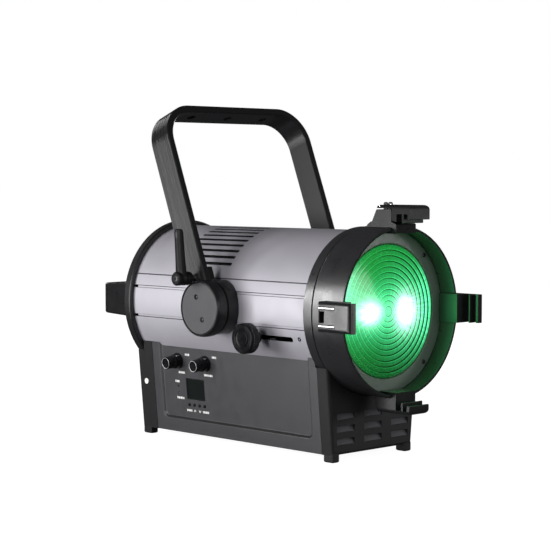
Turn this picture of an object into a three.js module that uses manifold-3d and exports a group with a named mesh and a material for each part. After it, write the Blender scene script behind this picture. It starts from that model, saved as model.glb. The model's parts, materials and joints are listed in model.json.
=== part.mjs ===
// Fresnel spotlight with a round barrel, a box-shaped driver housing on four feet and a tilting yoke.
// Millimetres, +Z up. The beam leaves towards -Y and the control panel is on the -X side.
// Everything is built in the lamp's own frame: X = 0 is the lamp's middle plane, Y = 0 is the tilt axis
// and Z = 0 is the surface that the feet stand on. The last section moves it to the part's frame.
import * as THREE from "three";
import { mergeVertices } from "three/addons/utils/BufferGeometryUtils.js";
import Module from "manifold-3d";

const wasm = await Module();
wasm.setup();

// ---------------------------------------------------------------- driving dimensions
const GAP = 0.3; // clearance between pieces that touch

const AXIS_Z = 167; // beam axis above the floor
const BARREL_R = 90.5;
const BARREL_WALL = 2.5;
const HOOD_R = 96;
const HOOD_WALL = 3.2;
const RIM_Y = -200; // front edge of the hood
const HOOD_REAR_Y = -139;
const LENS_R = 79;
const APERTURE_R = 75.8; // the glass that shows inside the retaining ring
const RING_Y = RIM_Y + 21; // front face of the retaining ring
const WEB_Y = RIM_Y + 30; // front face of the web that the lens sits on
const WEB_THICKNESS = 4;
const CAP_R = 96.7;
const CAP_FRONT_Y = 158;
const CAP_REAR_Y = 171;

const FOOT_H = 8;
const FOOT = { width: 11, length: 15 };
const BOX_HALF_BOTTOM = 66; // half width of the driver housing at its lower edge
const BOX_HALF_TOP = 76; // and where it meets the barrel
const BOX_TOP_Z = AXIS_Z - 50;
const FRONT_PLATE = { front: -157.5, rear: -141 };
const REAR_PLATE = { front: 142, rear: 170 };
const PANEL_THICKNESS = 4.2;
const DISH = { halfLength: 128.5, floorZ: 24, depth: 2.4, slope: 6 };

const YOKE_HALF = 118; // from the middle plane to an arm's outer face
const YOKE_BAR = 8.8; // thickness of the bar
const YOKE_WIDTH = 33;
const YOKE_HEIGHT = 247; // from the tilt axis to the top face
const YOKE_BEND_R = 44; // outer radius of the two bends
const YOKE_LEAN = THREE.MathUtils.degToRad(21.3); // the yoke leans back
const YOKE_HOLE_R = 5.3;
const YOKE_HOLE_PITCH = 59;

const DISC_R = 33; // the round clamp housings at the yoke's ends
const DISC_FACE_X = 124.5;
const BOSS_R = 31.5;
const BOSS_FACE_X = 107.2;
const PIVOT_R = 5;

const LEVER_ON_ARM = 37; // distance along the arm from the tilt axis to the clamping lever
const LEVER_END_X = -148;
const LEVER_LENGTH = 57;
const STUD_R = 3.9;

const FOCUS = { y: -64, z: AXIS_Z - 31, front: -46, rear: 22 }; // stem at rest, and its travel
const FOCUS_SLOT_W = 5.6;
const FOCUS_STEM_R = 2.3;
const FOCUS_KNOB = { r: 17.5, face: -117, length: 13.5, recessR: 11.5 };

const EAR_WIDTH = 33;
const EAR_FILLET = 5.5;
const EAR_FRONT = RIM_Y - 26;
const EAR_OUTER_R = 112;

const GRILLE = { rows: 3, pitch: 16, opening: 7, reach: 64, spoke: 6 }; // air outlet in the rear cap
const HANDLE = { half: 88, rear: 226, bar: 9, height: 42, heightRear: 37, bend: 16 };

const KNOBS = [
  { name: "mode_knob", y: 97.5 },
  { name: "dimmer_knob", y: 48 },
];
const KNOB_S = 95.9; // heights along the leaning control panel
const KNOB = { skirt: 9.7, skirtHeight: 7, cap: 7.5, proud: 19.5 };
const KNOB_SHAFT_R = 3;
const DISPLAY = { y: 69, s: 62.7, width: 33, height: 26 };
const BUTTON_NAMES = ["menu", "up", "down", "enter"];
const BUTTONS = { y: 68, s: 43.2, pitch: 9.1, r: 1.9, proud: 1, travel: 0.8 };
const STATUS_LEDS = { y: 100, signal: 65, power: 56.3, r: 1.4 };

const ROD = { x: 60, z: AXIS_Z - 38, r: 4 };
const SLED_Y = FOCUS.y;
const CONNECTORS = [
  { name: "power_inlet", x: -45 },
  { name: "power_outlet", x: -15 },
  { name: "dmx_input", x: 15 },
  { name: "dmx_output", x: 45 },
];
const CONNECTOR_Z = 40;
const CONNECTOR_R = 11.8;
const SOCKET = { r: 9, depth: 12, coreR: 3, shallowR: 8.2 };
const FLANGE = { width: 26, height: 31, face: REAR_PLATE.rear + 2.3 };

// ---------------------------------------------------------------- geometry helpers
const { sin, cos, sqrt, PI } = Math;

// A closed three.js geometry as a manifold-3d solid.
function solid(geometry) {
  const bare = (geometry.index ? geometry.toNonIndexed() : geometry).clone();
  for (const name of Object.keys(bare.attributes)) if (name !== "position") bare.deleteAttribute(name);
  const merged = mergeVertices(bare, 1e-3);
  const mesh = new wasm.Mesh({
    numProp: 3,
    vertProperties: merged.attributes.position.array,
    triVerts: new Uint32Array(merged.index.array),
  });
  return new wasm.Manifold(mesh);
}

function geometryOf(manifold) {
  const mesh = manifold.getMesh();
  const points = new Float32Array(mesh.numVert * 3);
  for (let i = 0; i < mesh.numVert; i++) {
    points.set(mesh.vertProperties.subarray(i * mesh.numProp, i * mesh.numProp + 3), i * 3);
  }
  return new THREE.BufferGeometry()
    .setAttribute("position", new THREE.BufferAttribute(points, 3))
    .setIndex(new THREE.BufferAttribute(mesh.triVerts, 1));
}

const union = (...all) => all.reduce((a, b) => a.add(b));
const minus = (body, ...cuts) => cuts.reduce((a, b) => a.subtract(b), body);

// A box from its lowest corner to its highest.
function box(x0, x1, y0, y1, z0, z1) {
  const g = new THREE.BoxGeometry(x1 - x0, y1 - y0, z1 - z0);
  return solid(g.translate((x0 + x1) / 2, (y0 + y1) / 2, (z0 + z1) / 2));
}

const shapeOf = (points) => new THREE.Shape(points.map(([a, b]) => new THREE.Vector2(a, b)));

// An outline of [y, z] points run along X.
function prismX(points, x0, x1) {
  const g = new THREE.ExtrudeGeometry(shapeOf(points), { depth: x1 - x0, bevelEnabled: false });
  g.applyMatrix4(new THREE.Matrix4().set(0, 0, 1, x0, 1, 0, 0, 0, 0, 1, 0, 0, 0, 0, 0, 1));
  return solid(g);
}

// An outline of [x, z] points, or a ready THREE.Shape, run along Y.
function prismY(outline, y0, y1) {
  const shape = outline instanceof THREE.Shape ? outline : shapeOf(outline);
  const g = new THREE.ExtrudeGeometry(shape, { depth: y1 - y0, bevelEnabled: false, curveSegments: 12 });
  g.rotateX(PI / 2);
  return solid(g.translate(0, y1, 0));
}

// An outline of [x, y] points, or a ready THREE.Shape, run along Z.
function prismZ(outline, z0, z1) {
  const shape = outline instanceof THREE.Shape ? outline : shapeOf(outline);
  const g = new THREE.ExtrudeGeometry(shape, { depth: z1 - z0, bevelEnabled: false, curveSegments: 10 });
  return solid(g.translate(0, 0, z0));
}

// A profile of [radius, y] points turned about the beam axis.
function turnedY(profile, segments = 48) {
  const g = new THREE.LatheGeometry(profile.map(([r, y]) => new THREE.Vector2(r, y)), segments);
  const made = solid(g.translate(0, 0, AXIS_Z));
  return made.volume() > 0 ? made : solid(flipped(g));
}

// A profile of [radius, x] points turned about an axis along X through (y, z).
function turnedX(profile, y, z, segments = 24) {
  const g = new THREE.LatheGeometry(profile.map(([r, x]) => new THREE.Vector2(r, x)), segments);
  g.rotateZ(-PI / 2).translate(0, y, z);
  const made = solid(g);
  return made.volume() > 0 ? made : solid(flipped(g));
}

// The same faces, turned to point the other way.
function flipped(geometry) {
  const g = geometry.clone();
  const order = g.index.array;
  for (let i = 0; i < order.length; i += 3) [order[i + 1], order[i + 2]] = [order[i + 2], order[i + 1]];
  return g;
}

const rodX = (r, x0, x1, y, z, segments = 16) =>
  turnedX([[0, x0], [r, x0], [r, x1], [0, x1]], y, z, segments);

function rodY(r, y0, y1, x, z, segments = 16) {
  const g = new THREE.CylinderGeometry(r, r, y1 - y0, segments);
  return solid(g.translate(x, (y0 + y1) / 2, z));
}

function rodZ(r, z0, z1, x, y, segments = 16) {
  const g = new THREE.CylinderGeometry(r, r, z1 - z0, segments).rotateX(PI / 2);
  return solid(g.translate(x, y, (z0 + z1) / 2));
}

// A tube of the beam axis between two radii.
const ringY = (r0, r1, y0, y1, segments = 48) =>
  turnedY([[r0, y0], [r1, y0], [r1, y1], [r0, y1], [r0, y0]], segments);

// A rounded rectangle of [a, b] points about its centre.
function roundedRect(a, b, width, height, r, steps = 4) {
  const points = [];
  const corners = [[1, 1, 0], [-1, 1, 1], [-1, -1, 2], [1, -1, 3]];
  for (const [sa, sb, turn] of corners) {
    for (let i = 0; i <= steps; i++) {
      const t = ((turn + i / steps) * PI) / 2;
      points.push([a + sa * (width / 2 - r) + r * cos(t), b + sb * (height / 2 - r) + r * sin(t)]);
    }
  }
  return points;
}

// A solid through a list of rings of the same number of points, closed flat at both ends.
function loft(rings) {
  const n = rings[0].length;
  const points = rings.flat().flatMap((p) => p);
  const faces = [];
  for (let k = 0; k + 1 < rings.length; k++) {
    for (let i = 0; i < n; i++) {
      const a = k * n + i;
      const b = k * n + ((i + 1) % n);
      faces.push(a, b, b + n, a, b + n, a + n);
    }
  }
  const last = (rings.length - 1) * n;
  for (let i = 1; i + 1 < n; i++) faces.push(0, i + 1, i, last, last + i, last + i + 1);
  const g = new THREE.BufferGeometry()
    .setAttribute("position", new THREE.BufferAttribute(new Float32Array(points), 3))
    .setIndex(faces);
  const made = solid(g);
  return made.volume() > 0 ? made : solid(flipped(g));
}

// The yoke's own plane: h runs up its arms from the tilt axis, s runs back across its width.
const leant = (manifold) => manifold.rotate([(-YOKE_LEAN * 180) / PI, 0, 0]).translate([0, 0, AXIS_Z]);
const mirroredX = (manifold) => manifold.mirror([1, 0, 0]);

// ---------------------------------------------------------------- materials
function paint(color, roughness, metalness) {
  return new THREE.MeshStandardMaterial({ color, roughness, metalness });
}
const LOOKS = {
  barrel: paint(0x9a98a0, 0.42, 0.6),
  black: paint(0x1d1d20, 0.45, 0.2),
  panel: paint(0x4a494e, 0.5, 0.3),
  yoke: paint(0x2b2b2d, 0.4, 0.5),
  glass: paint(0xd8efe2, 0.05, 0),
  plastic: paint(0x121214, 0.5, 0),
  rubber: paint(0x0d0d0d, 0.85, 0),
  steel: paint(0xb9babd, 0.25, 1),
  aluminium: paint(0xa9abad, 0.4, 1),
  circuit: paint(0x1b4a2c, 0.6, 0),
  led: paint(0xe8d98a, 0.5, 0),
  blue: paint(0x1c4f9c, 0.5, 0),
};

const lamp = new THREE.Group();

function add(name, look, manifold) {
  const mesh = new THREE.Mesh(geometryOf(manifold), LOOKS[look]);
  mesh.name = name;
  lamp.add(mesh);
}

// ---------------------------------------------------------------- barrel
const BAND_Z = 16; // half height of the raised band along each side
const GROOVE = { width: 3.4, depth: 1.3 };
const VENT = { front: -3.5, rear: 84, width: 3.2, first: 33, step: 6, count: 20 };

// The extrusion's outline: round, with two grooves beside a band on each side.
function barrelOutline(r) {
  const points = [];
  const bandAngle = Math.asin(BAND_Z / r);
  const grooveAngle = Math.asin((BAND_Z + GROOVE.width) / r);
  const arc = (from, to, steps) => {
    for (let i = 0; i <= steps; i++) {
      const t = from + ((to - from) * i) / steps;
      points.push([r * cos(t), r * sin(t)]);
    }
  };
  for (const side of [0, PI]) {
    arc(side - bandAngle, side + bandAngle, 2);
    for (const t of [side + bandAngle, side + grooveAngle]) {
      points.push([(r - GROOVE.depth) * cos(t), (r - GROOVE.depth) * sin(t)]);
    }
    arc(side + grooveAngle, side + PI - grooveAngle, 18);
    for (const t of [side + PI - grooveAngle, side + PI - bandAngle]) {
      points.push([(r - GROOVE.depth) * cos(t), (r - GROOVE.depth) * sin(t)]);
    }
  }
  return points.map(([x, z]) => [x, z + AXIS_Z]);
}

function barrel() {
  const front = HOOD_REAR_Y - 11;
  const rear = CAP_REAR_Y - 4;
  let body = prismY(barrelOutline(BARREL_R), front, rear);
  body = minus(body, rodY(BARREL_R - BARREL_WALL, front - 1, rear + 1, 0, AXIS_Z, 48));
  for (let i = 0; i < VENT.count; i++) {
    const angle = VENT.first + i * VENT.step;
    const slot = box(BARREL_R - 8, BARREL_R + 5, VENT.front, VENT.rear, -VENT.width / 2, VENT.width / 2);
    body = minus(body, slot.rotate([0, -angle, 0]).translate([0, 0, AXIS_Z]));
  }
  const slotFront = FOCUS.y + FOCUS.front - FOCUS_STEM_R - 1.5;
  const slotRear = FOCUS.y + FOCUS.rear + FOCUS_STEM_R + 1.5;
  const half = FOCUS_SLOT_W / 2;
  body = minus(body, box(-100, -70, slotFront, slotRear, FOCUS.z - half, FOCUS.z + half));
  return minus(body, rodX(PIVOT_R + 0.5, -100, -80, 0, AXIS_Z), rodX(PIVOT_R + 0.5, 80, 100, 0, AXIS_Z));
}
add("barrel", "barrel", barrel());

// ---------------------------------------------------------------- hood, lens and its ring
function hood() {
  const inner = HOOD_R - HOOD_WALL;
  return turnedY([
    [BARREL_R + GAP, HOOD_REAR_Y],
    [HOOD_R - 1.2, HOOD_REAR_Y],
    [HOOD_R, HOOD_REAR_Y - 1.2],
    [HOOD_R, RIM_Y + 0.8],
    [HOOD_R - 0.8, RIM_Y],
    [inner, RIM_Y],
    [inner, WEB_Y],
    [APERTURE_R - 1, WEB_Y],
    [APERTURE_R - 1, WEB_Y + WEB_THICKNESS],
    [BARREL_R + GAP, WEB_Y + WEB_THICKNESS],
    [BARREL_R + GAP, HOOD_REAR_Y],
  ]);
}
add("front_hood", "black", hood());
add("lens_retaining_ring", "black", ringY(APERTURE_R, HOOD_R - HOOD_WALL - GAP, RING_Y, RING_Y + 2));
add("lens_gasket", "rubber", ringY(APERTURE_R - 0.8, LENS_R, WEB_Y - 1.5, WEB_Y - GAP, 32));

const LENS = { rear: WEB_Y - 1.8, rim: RING_Y + 2 + GAP, crown: 3.8, rings: 4 };
// A flat back and a stepped front: each ring rises towards its outer edge's step, and the middle is a dome.
function lens() {
  const points = [[0, LENS.rear], [LENS_R, LENS.rear], [LENS_R, LENS.rim], [APERTURE_R - 1, LENS.rim]];
  const ringWidth = (APERTURE_R - 1) / LENS.rings;
  for (let i = LENS.rings; i > 0; i--) {
    const outer = i * ringWidth - (i === LENS.rings ? 0.6 : 0);
    points.push([outer, LENS.rim - 0.2]);
    if (i > 1) points.push([(i - 1) * ringWidth + 0.3, LENS.rim - LENS.crown * 0.7]);
  }
  points.push([ringWidth * 0.5, LENS.rim - LENS.crown * 0.8], [0, LENS.rim - LENS.crown]);
  return turnedY(points, 32);
}
add("fresnel_lens", "glass", lens());

// ---------------------------------------------------------------- accessory ears on the rim
const SLOT_1 = [-14.2, -6.2]; // frame channels, from the rim forwards
const SLOT_2 = [-22.4, -16.6];
const PAD_R = 88;
const PAD_LENGTH = 20.5;

// The ear at the top of the rim, as an outline of [y, z]: turn it about the beam axis for the others.
function earBody(outline, outerR) {
  const half = EAR_WIDTH / 2;
  const body = prismX(outline.map(([y, r]) => [RIM_Y + y, AXIS_Z + r]), -half, half);
  const height = outerR - PAD_R + 20;
  const rounded = prismY(
    roundedRect(0, AXIS_Z + outerR - height / 2, EAR_WIDTH + 0.02, height, EAR_FILLET),
    EAR_FRONT - 5,
    RIM_Y + 60,
  );
  const wall = ringY(HOOD_R - HOOD_WALL - GAP, HOOD_R + GAP, RIM_Y - GAP, RIM_Y + 60);
  return minus(body.intersect(rounded), wall);
}

function ear() {
  const floor = EAR_OUTER_R - 4;
  const outline = [
    [26, HOOD_R - 3],
    [26, 98],
    [22, 110],
    [20, EAR_OUTER_R],
    [-23, EAR_OUTER_R],
    [-25.1, EAR_OUTER_R - 0.9],
    [-26, EAR_OUTER_R - 3],
    [-26, 101.5],
    [SLOT_2[0], 101.5],
    [SLOT_2[0], floor],
    [SLOT_2[1], floor],
    [SLOT_2[1], 98.5],
    [SLOT_1[0], 98.5],
    [SLOT_1[0], floor],
    [SLOT_1[1], floor],
    [SLOT_1[1], PAD_R],
    [PAD_LENGTH, PAD_R],
    [PAD_LENGTH, HOOD_R - 3],
  ];
  const recess = box(-6, 6, RIM_Y + 15.5, RIM_Y + 23, AXIS_Z + EAR_OUTER_R - 3, AXIS_Z + EAR_OUTER_R + 1);
  return minus(earBody(outline, EAR_OUTER_R), recess);
}
const turnedEar = (degrees) =>
  ear().translate([0, 0, -AXIS_Z]).rotate([0, degrees, 0]).translate([0, 0, AXIS_Z]);
add("ear_left", "black", turnedEar(-90));
add("ear_right", "black", turnedEar(90));
add("ear_bottom", "black", turnedEar(180));

// The top ear carries the sprung latch that lets a frame drop in from above.
const LATCH = { pinY: RIM_Y + 21.2, pinR: 117.8, under: 115.9, top: 119.6, pinRadius: 1.2, width: 28 };
const LUG = { inner: 3, outer: 4.7, swing: 6.4 }; // swing clears the lugs as the latch lifts
const latchPinZ = AXIS_Z + LATCH.pinR;
function earTop() {
  const outline = [
    [38, HOOD_R - 3],
    [38, 97],
    [32, 101],
    [30.3, 101],
    [23.6, LATCH.under - 1.3],
    [1.5, LATCH.under - 1.3],
    [1.5, 101],
    [-5.8, 98.2],
    [-5.8, PAD_R],
    [PAD_LENGTH, PAD_R],
    [PAD_LENGTH, HOOD_R - 3],
  ];
  let body = earBody(outline, LATCH.top);
  for (const side of [-1, 1]) {
    const [a, b] = [side * LUG.inner, side * LUG.outer].sort((p, q) => p - q);
    const lug = box(a, b, LATCH.pinY - 3.2, LATCH.pinY + 2.4, AXIS_Z + 112, AXIS_Z + 122.6);
    body = union(body, lug);
  }
  return minus(body, rodX(LATCH.pinRadius + 0.3, -10, 10, LATCH.pinY, latchPinZ, 12));
}
add("ear_top", "black", earTop());

function topLatch() {
  const outline = [
    [23.2, LATCH.under],
    [23.2, LATCH.top - 1.2],
    [22.2, LATCH.top],
    [-23, LATCH.top],
    [-25.1, LATCH.top - 0.9],
    [-26, LATCH.top - 3],
    [-26, 103.5],
    [SLOT_2[0], 103.5],
    [SLOT_2[0], 109.6],
    [SLOT_2[1], 109.6],
    [SLOT_2[1], 99.5],
    [SLOT_1[0], 99.5],
    [SLOT_1[0], 109.6],
    [SLOT_1[1], 109.6],
    [SLOT_1[1], 100.8],
    [0.9, 102.2],
    [0.9, LATCH.under],
  ];
  const side = LUG.outer + 0.5;
  const window = box(-side, side, LATCH.pinY - LUG.swing, RIM_Y + 25, AXIS_Z + 110, AXIS_Z + 125);
  const pinHole = rodX(LATCH.pinRadius + 0.3, -20, 20, LATCH.pinY, latchPinZ, 12);
  return minus(earBody(outline, LATCH.top), window, pinHole);
}
add("top_latch", "black", topLatch());
add("latch_pin", "steel", rodX(
  LATCH.pinRadius, -LATCH.width / 2, LATCH.width / 2, LATCH.pinY, latchPinZ, 12,
));
const springRing = [[1.6, -2.5], [2.6, -2.5], [2.6, 2.5], [1.6, 2.5], [1.6, -2.5]];
add("latch_spring", "steel", turnedX(springRing, LATCH.pinY, latchPinZ, 16));

// ---------------------------------------------------------------- rear cap and grab handle
function rearCap() {
  let body = turnedY([
    [BARREL_R + GAP, CAP_FRONT_Y],
    [CAP_R - 1, CAP_FRONT_Y],
    [CAP_R, CAP_FRONT_Y + 1],
    [CAP_R, CAP_REAR_Y - 1.5],
    [CAP_R - 1.5, CAP_REAR_Y],
    [0, CAP_REAR_Y],
    [0, CAP_REAR_Y - 3],
    [BARREL_R + GAP, CAP_REAR_Y - 3],
    [BARREL_R + GAP, CAP_FRONT_Y],
  ]);
  const { rows, pitch, opening, reach, spoke } = GRILLE;
  for (let row = -rows; row <= rows; row++) {
    const z = row * pitch;
    const half = sqrt(reach ** 2 - z ** 2);
    for (const side of [-1, 1]) {
      const [a, b] = [(side * spoke) / 2, side * half].sort((p, q) => p - q);
      const slot = box(a, b, CAP_REAR_Y - 6, CAP_REAR_Y + 2, z - opening / 2, z + opening / 2);
      body = minus(body, slot.translate([0, 0, AXIS_Z]));
    }
  }
  return body;
}
add("rear_cap", "black", rearCap());

// A strap bent round behind the cap, narrower at the back than at its two roots.
function rearHandle() {
  const { half, rear, bar, bend } = HANDLE;
  const front = CAP_REAR_Y + GAP;
  const outline = (inset) => {
    const s = new THREE.Path();
    const h = half - inset;
    const r = bend - inset;
    const y = rear - inset;
    s.moveTo(-h, front);
    s.lineTo(-h, y - r);
    s.absarc(-h + r, y - r, r, PI, PI / 2, true);
    s.lineTo(h - r, y);
    s.absarc(h - r, y - r, r, PI / 2, 0, true);
    s.lineTo(h, front);
    return s.getPoints(8);
  };
  const shape = new THREE.Shape([...outline(0), ...outline(bar).reverse()]);
  const strap = prismZ(shape, AXIS_Z - HANDLE.height / 2, AXIS_Z + HANDLE.height / 2);
  const [root, end] = [HANDLE.height / 2, HANDLE.heightRear / 2];
  const side = [[front - 1, -root], [rear + 1, -end], [rear + 1, end], [front - 1, root]];
  const taper = prismX(side.map(([y, z]) => [y, AXIS_Z + z]), -half - 1, half + 1);
  return strap.intersect(taper);
}
add("rear_handle", "black", rearHandle());

// ---------------------------------------------------------------- driver housing
const BOX_SLOPE = (BOX_HALF_TOP - BOX_HALF_BOTTOM) / (BOX_TOP_Z - FOOT_H);
const widthAt = (z) => BOX_HALF_BOTTOM + BOX_SLOPE * (z - FOOT_H);

// The housing's cross-section, drawn in by a margin.
function boxOutline(inset, z0, z1) {
  const [low, high] = [widthAt(z0) - inset, widthAt(z1) - inset];
  return [[-low, z0], [low, z0], [high, z1], [-high, z1]];
}

function feet(y0, y1, x) {
  const foot = (sx) => {
    const [a, b] = [sx * x, sx * (x - FOOT.width)].sort((p, q) => p - q);
    const inset = 1.2;
    const ring = (i, z) => [
      [a + i, y0 + i, z], [b - i, y0 + i, z], [b - i, y1 - i, z], [a + i, y1 - i, z],
    ];
    return loft([ring(inset, 0), ring(0, 1.5), ring(0, FOOT_H + 1)]);
  };
  return union(foot(-1), foot(1));
}

const barrelRoom = (y0, y1) => rodY(BARREL_R + 2 * GAP, y0, y1, 0, AXIS_Z, 48);
const hoodRoom = (y0, y1) => rodY(HOOD_R + 2 * GAP, y0, y1, 0, AXIS_Z, 48);
const LOUVRE = { width: 29, height: 7.4, xs: [-44.7, 0, 44.7], zs: [51, 36.8, 22.5] };

function frontPlate() {
  const { front, rear } = FRONT_PLATE;
  const wall = 3;
  const top = BOX_TOP_Z;
  let body = prismY(boxOutline(0, FOOT_H, top), front, rear);
  body = minus(body, prismY(boxOutline(wall, FOOT_H + wall, top + 1), front + wall, rear + 1));
  for (const x of LOUVRE.xs) {
    for (const z of LOUVRE.zs) {
      body = minus(body, box(
        x - LOUVRE.width / 2, x + LOUVRE.width / 2, front - 1, front + wall + 1,
        z - LOUVRE.height / 2, z + LOUVRE.height / 2,
      ));
    }
  }
  body = union(body, feet(front, front + FOOT.length, BOX_HALF_BOTTOM - 0.4));
  return minus(body, hoodRoom(front - 1, rear + 1));
}
add("front_end_plate", "black", frontPlate());

function rearPlate() {
  const { front, rear } = REAR_PLATE;
  const wall = 3;
  let body = prismY(boxOutline(0, FOOT_H, BOX_TOP_Z), front, rear);
  body = minus(body, prismY(boxOutline(wall, FOOT_H + wall, BOX_TOP_Z + 1), front - 1, rear - wall));
  body = union(body, feet(rear - FOOT.length, rear, BOX_HALF_BOTTOM - 0.4));
  for (const { x } of CONNECTORS) {
    body = minus(body, rodY(CONNECTOR_R + GAP, rear - 5, rear + 1, x, CONNECTOR_Z, 20));
  }
  body = minus(body, barrelRoom(front - 1, CAP_FRONT_Y - 0.6));
  return minus(body, rodY(CAP_R + 2 * GAP, CAP_FRONT_Y - 0.7, rear + 1, 0, AXIS_Z, 48));
}
add("rear_end_plate", "black", rearPlate());
const BASE = { half: BOX_HALF_BOTTOM - 5, under: FOOT_H + GAP, top: FOOT_H + 2.5 };
const [boxFront, boxRear] = [FRONT_PLATE.rear + GAP, REAR_PLATE.front - GAP];
add("base_plate", "panel", box(-BASE.half, BASE.half, boxFront, boxRear, BASE.under, BASE.top));

// A side panel leans with the housing. Its middle is pressed in as a dish that runs up under the barrel.
const PANEL_LEAN = Math.atan(BOX_SLOPE);
function sidePanel() {
  const section = [
    [-widthAt(FOOT_H), FOOT_H],
    [-widthAt(FOOT_H) + PANEL_THICKNESS, FOOT_H],
    [-widthAt(BOX_TOP_Z) + PANEL_THICKNESS, BOX_TOP_Z],
    [-widthAt(BOX_TOP_Z), BOX_TOP_Z],
  ];
  const body = prismY(section, boxFront, boxRear);
  const ring = (inset, depth) => {
    const h = DISH.halfLength - inset;
    const bottom = DISH.floorZ + inset;
    const x = (z) => -widthAt(z) + depth;
    const top = BOX_TOP_Z + 4;
    return [[x(bottom), -h, bottom], [x(bottom), h, bottom], [x(top), h, top], [x(top), -h, top]];
  };
  const dish = loft([ring(-DISH.slope / DISH.depth, -1), ring(0, 0), ring(DISH.slope, DISH.depth)]);
  return minus(body, dish, barrelRoom(boxFront - 1, boxRear + 1), hoodRoom(boxFront - 1, HOOD_REAR_Y + GAP));
}

// The controls stand square to the leaning panel. They are made upright against the plane X = 0, with their
// height measured along the panel, and then leant with it.
const onPanel = (manifold) =>
  manifold.rotate([0, (-PANEL_LEAN * 180) / PI, 0]).translate([-widthAt(0), 0, 0]);
const buttonY = (i) => BUTTONS.y + (1.5 - i) * BUTTONS.pitch;
const PANEL_FACE = DISH.depth; // the dished face that the controls stand on
const BOARD_FRONT = 12.4;
const BOARD = { thickness: 1.6, front: 36, rear: 114, low: 22, high: 93 };
const POWER_SUPPLY = { half: 44, halfLength: 90, under: FOOT_H + 4, top: FOOT_H + 46 };

function controlPanel() {
  const { y, s, width, height } = DISPLAY;
  const through = (r, py, ps, segments) => rodX(r, -5, 15, py, ps, segments);
  const holes = [box(-5, 15, y - width / 2, y + width / 2, s - height / 2, s + height / 2)];
  for (const knob of KNOBS) holes.push(through(KNOB_SHAFT_R + GAP, knob.y, KNOB_S, 12));
  BUTTON_NAMES.forEach((name, i) => holes.push(through(BUTTONS.r + GAP, buttonY(i), BUTTONS.s, 10)));
  for (const s of [STATUS_LEDS.signal, STATUS_LEDS.power]) {
    holes.push(through(STATUS_LEDS.r + GAP, STATUS_LEDS.y, s, 10));
  }
  return minus(sidePanel(), ...holes.map(onPanel));
}
add("control_panel", "panel", controlPanel());
add("side_panel", "panel", mirroredX(sidePanel()));

// ---------------------------------------------------------------- controls
function displayWindow() {
  const { y, s, width, height } = DISPLAY;
  const [w, h] = [width / 2 - GAP, height / 2 - GAP];
  return box(PANEL_FACE + 0.4, PANEL_FACE + 2, y - w, y + w, s - h, s + h);
}
add("display_window", "glass", onPanel(displayWindow()));
function controlBoard() {
  const { thickness, front, rear, low, high } = BOARD;
  return box(BOARD_FRONT, BOARD_FRONT + thickness, front, rear, low, high);
}
add("control_board", "circuit", onPanel(controlBoard()));

// A knob turns on its own shaft, which ends in an encoder on the board.
function encoderKnob(y) {
  const { skirt, skirtHeight, cap, proud } = KNOB;
  const base = PANEL_FACE - 0.5;
  const top = base - proud;
  const inner = BOARD_FRONT - GAP;
  return turnedX([
    [0, top], [cap - 0.6, top], [cap, top + 0.6], [cap, base - skirtHeight - 1], [skirt, base - skirtHeight],
    [skirt, base], [KNOB_SHAFT_R, base], [KNOB_SHAFT_R, inner], [0, inner],
  ], y, KNOB_S, 20);
}
for (const { name, y } of KNOBS) add(name, "plastic", onPanel(encoderKnob(y)));
BUTTON_NAMES.forEach((name, i) => {
  const { r, s, proud, travel } = BUTTONS;
  const stem = rodX(r, PANEL_FACE - proud, BOARD_FRONT - travel - GAP, buttonY(i), s, 10);
  add(`${name}_button`, "plastic", onPanel(stem));
});
for (const name of ["signal", "power"]) {
  const pipe = rodX(STATUS_LEDS.r, PANEL_FACE - 0.4, BOARD_FRONT - GAP, STATUS_LEDS.y, STATUS_LEDS[name], 10);
  add(`${name}_led`, "glass", onPanel(pipe));
}
function powerSupply() {
  const { half, halfLength, under, top } = POWER_SUPPLY;
  return box(-half, half, -halfLength, halfLength, under, top);
}
add("power_supply", "aluminium", powerSupply());

// A round panel connector: a square flange outside the rear plate, a socket, and the body behind it.
function connector({ name, x }) {
  const y = REAR_PLATE.rear;
  const flange = prismY(roundedRect(x, CONNECTOR_Z, FLANGE.width, FLANGE.height, 3, 2), y + GAP, FLANGE.face);
  const body = union(flange, rodY(CONNECTOR_R, y - 16, y + 1, x, CONNECTOR_Z, 20));
  if (name === "dmx_output") return minus(body, rodY(SOCKET.shallowR, y - 1, y + 5, x, CONNECTOR_Z, 20));
  const deep = FLANGE.face - SOCKET.depth;
  const open = minus(body, rodY(SOCKET.r, deep, y + 5, x, CONNECTOR_Z, 20));
  if (!name.startsWith("power")) return open;
  return union(open, rodY(SOCKET.coreR, deep - 1, y - 0.5, x, CONNECTOR_Z, 12));
}
for (const c of CONNECTORS) add(c.name, c.name === "power_inlet" ? "blue" : "plastic", connector(c));

// ---------------------------------------------------------------- tilt pivots and yoke
const BOSS_ROOT_X = 80; // inside the barrel's skin, which the boss is cut to fit
const WASHER = { r0: 12, r1: 28, inner: BOSS_FACE_X + GAP, outer: 108.9 };
const BOLT = { inner: 84, outer: 120 };
const COVER = { r: 29.8, thickness: 1.8, sunk: 0.6 };
const discBack = WASHER.outer + GAP;
const discFloor = DISC_FACE_X - COVER.sunk - COVER.thickness - GAP;
const discRecessR = COVER.r + 0.4;
const bossProfile = [
  [PIVOT_R + GAP, BOSS_ROOT_X], [BOSS_R, BOSS_ROOT_X], [BOSS_R, BOSS_FACE_X - 1], [BOSS_R - 1, BOSS_FACE_X],
  [PIVOT_R + GAP, BOSS_FACE_X], [PIVOT_R + GAP, BOSS_ROOT_X],
];
const discProfile = [
  [PIVOT_R + GAP, discBack], [DISC_R, discBack], [DISC_R, DISC_FACE_X - 1.6], [DISC_R - 1.2, DISC_FACE_X],
  [discRecessR, DISC_FACE_X], [discRecessR, discFloor], [PIVOT_R + GAP, discFloor], [PIVOT_R + GAP, discBack],
];
const boss = () => minus(turnedX(bossProfile, 0, AXIS_Z, 32), barrelRoom(-60, 60));
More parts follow.
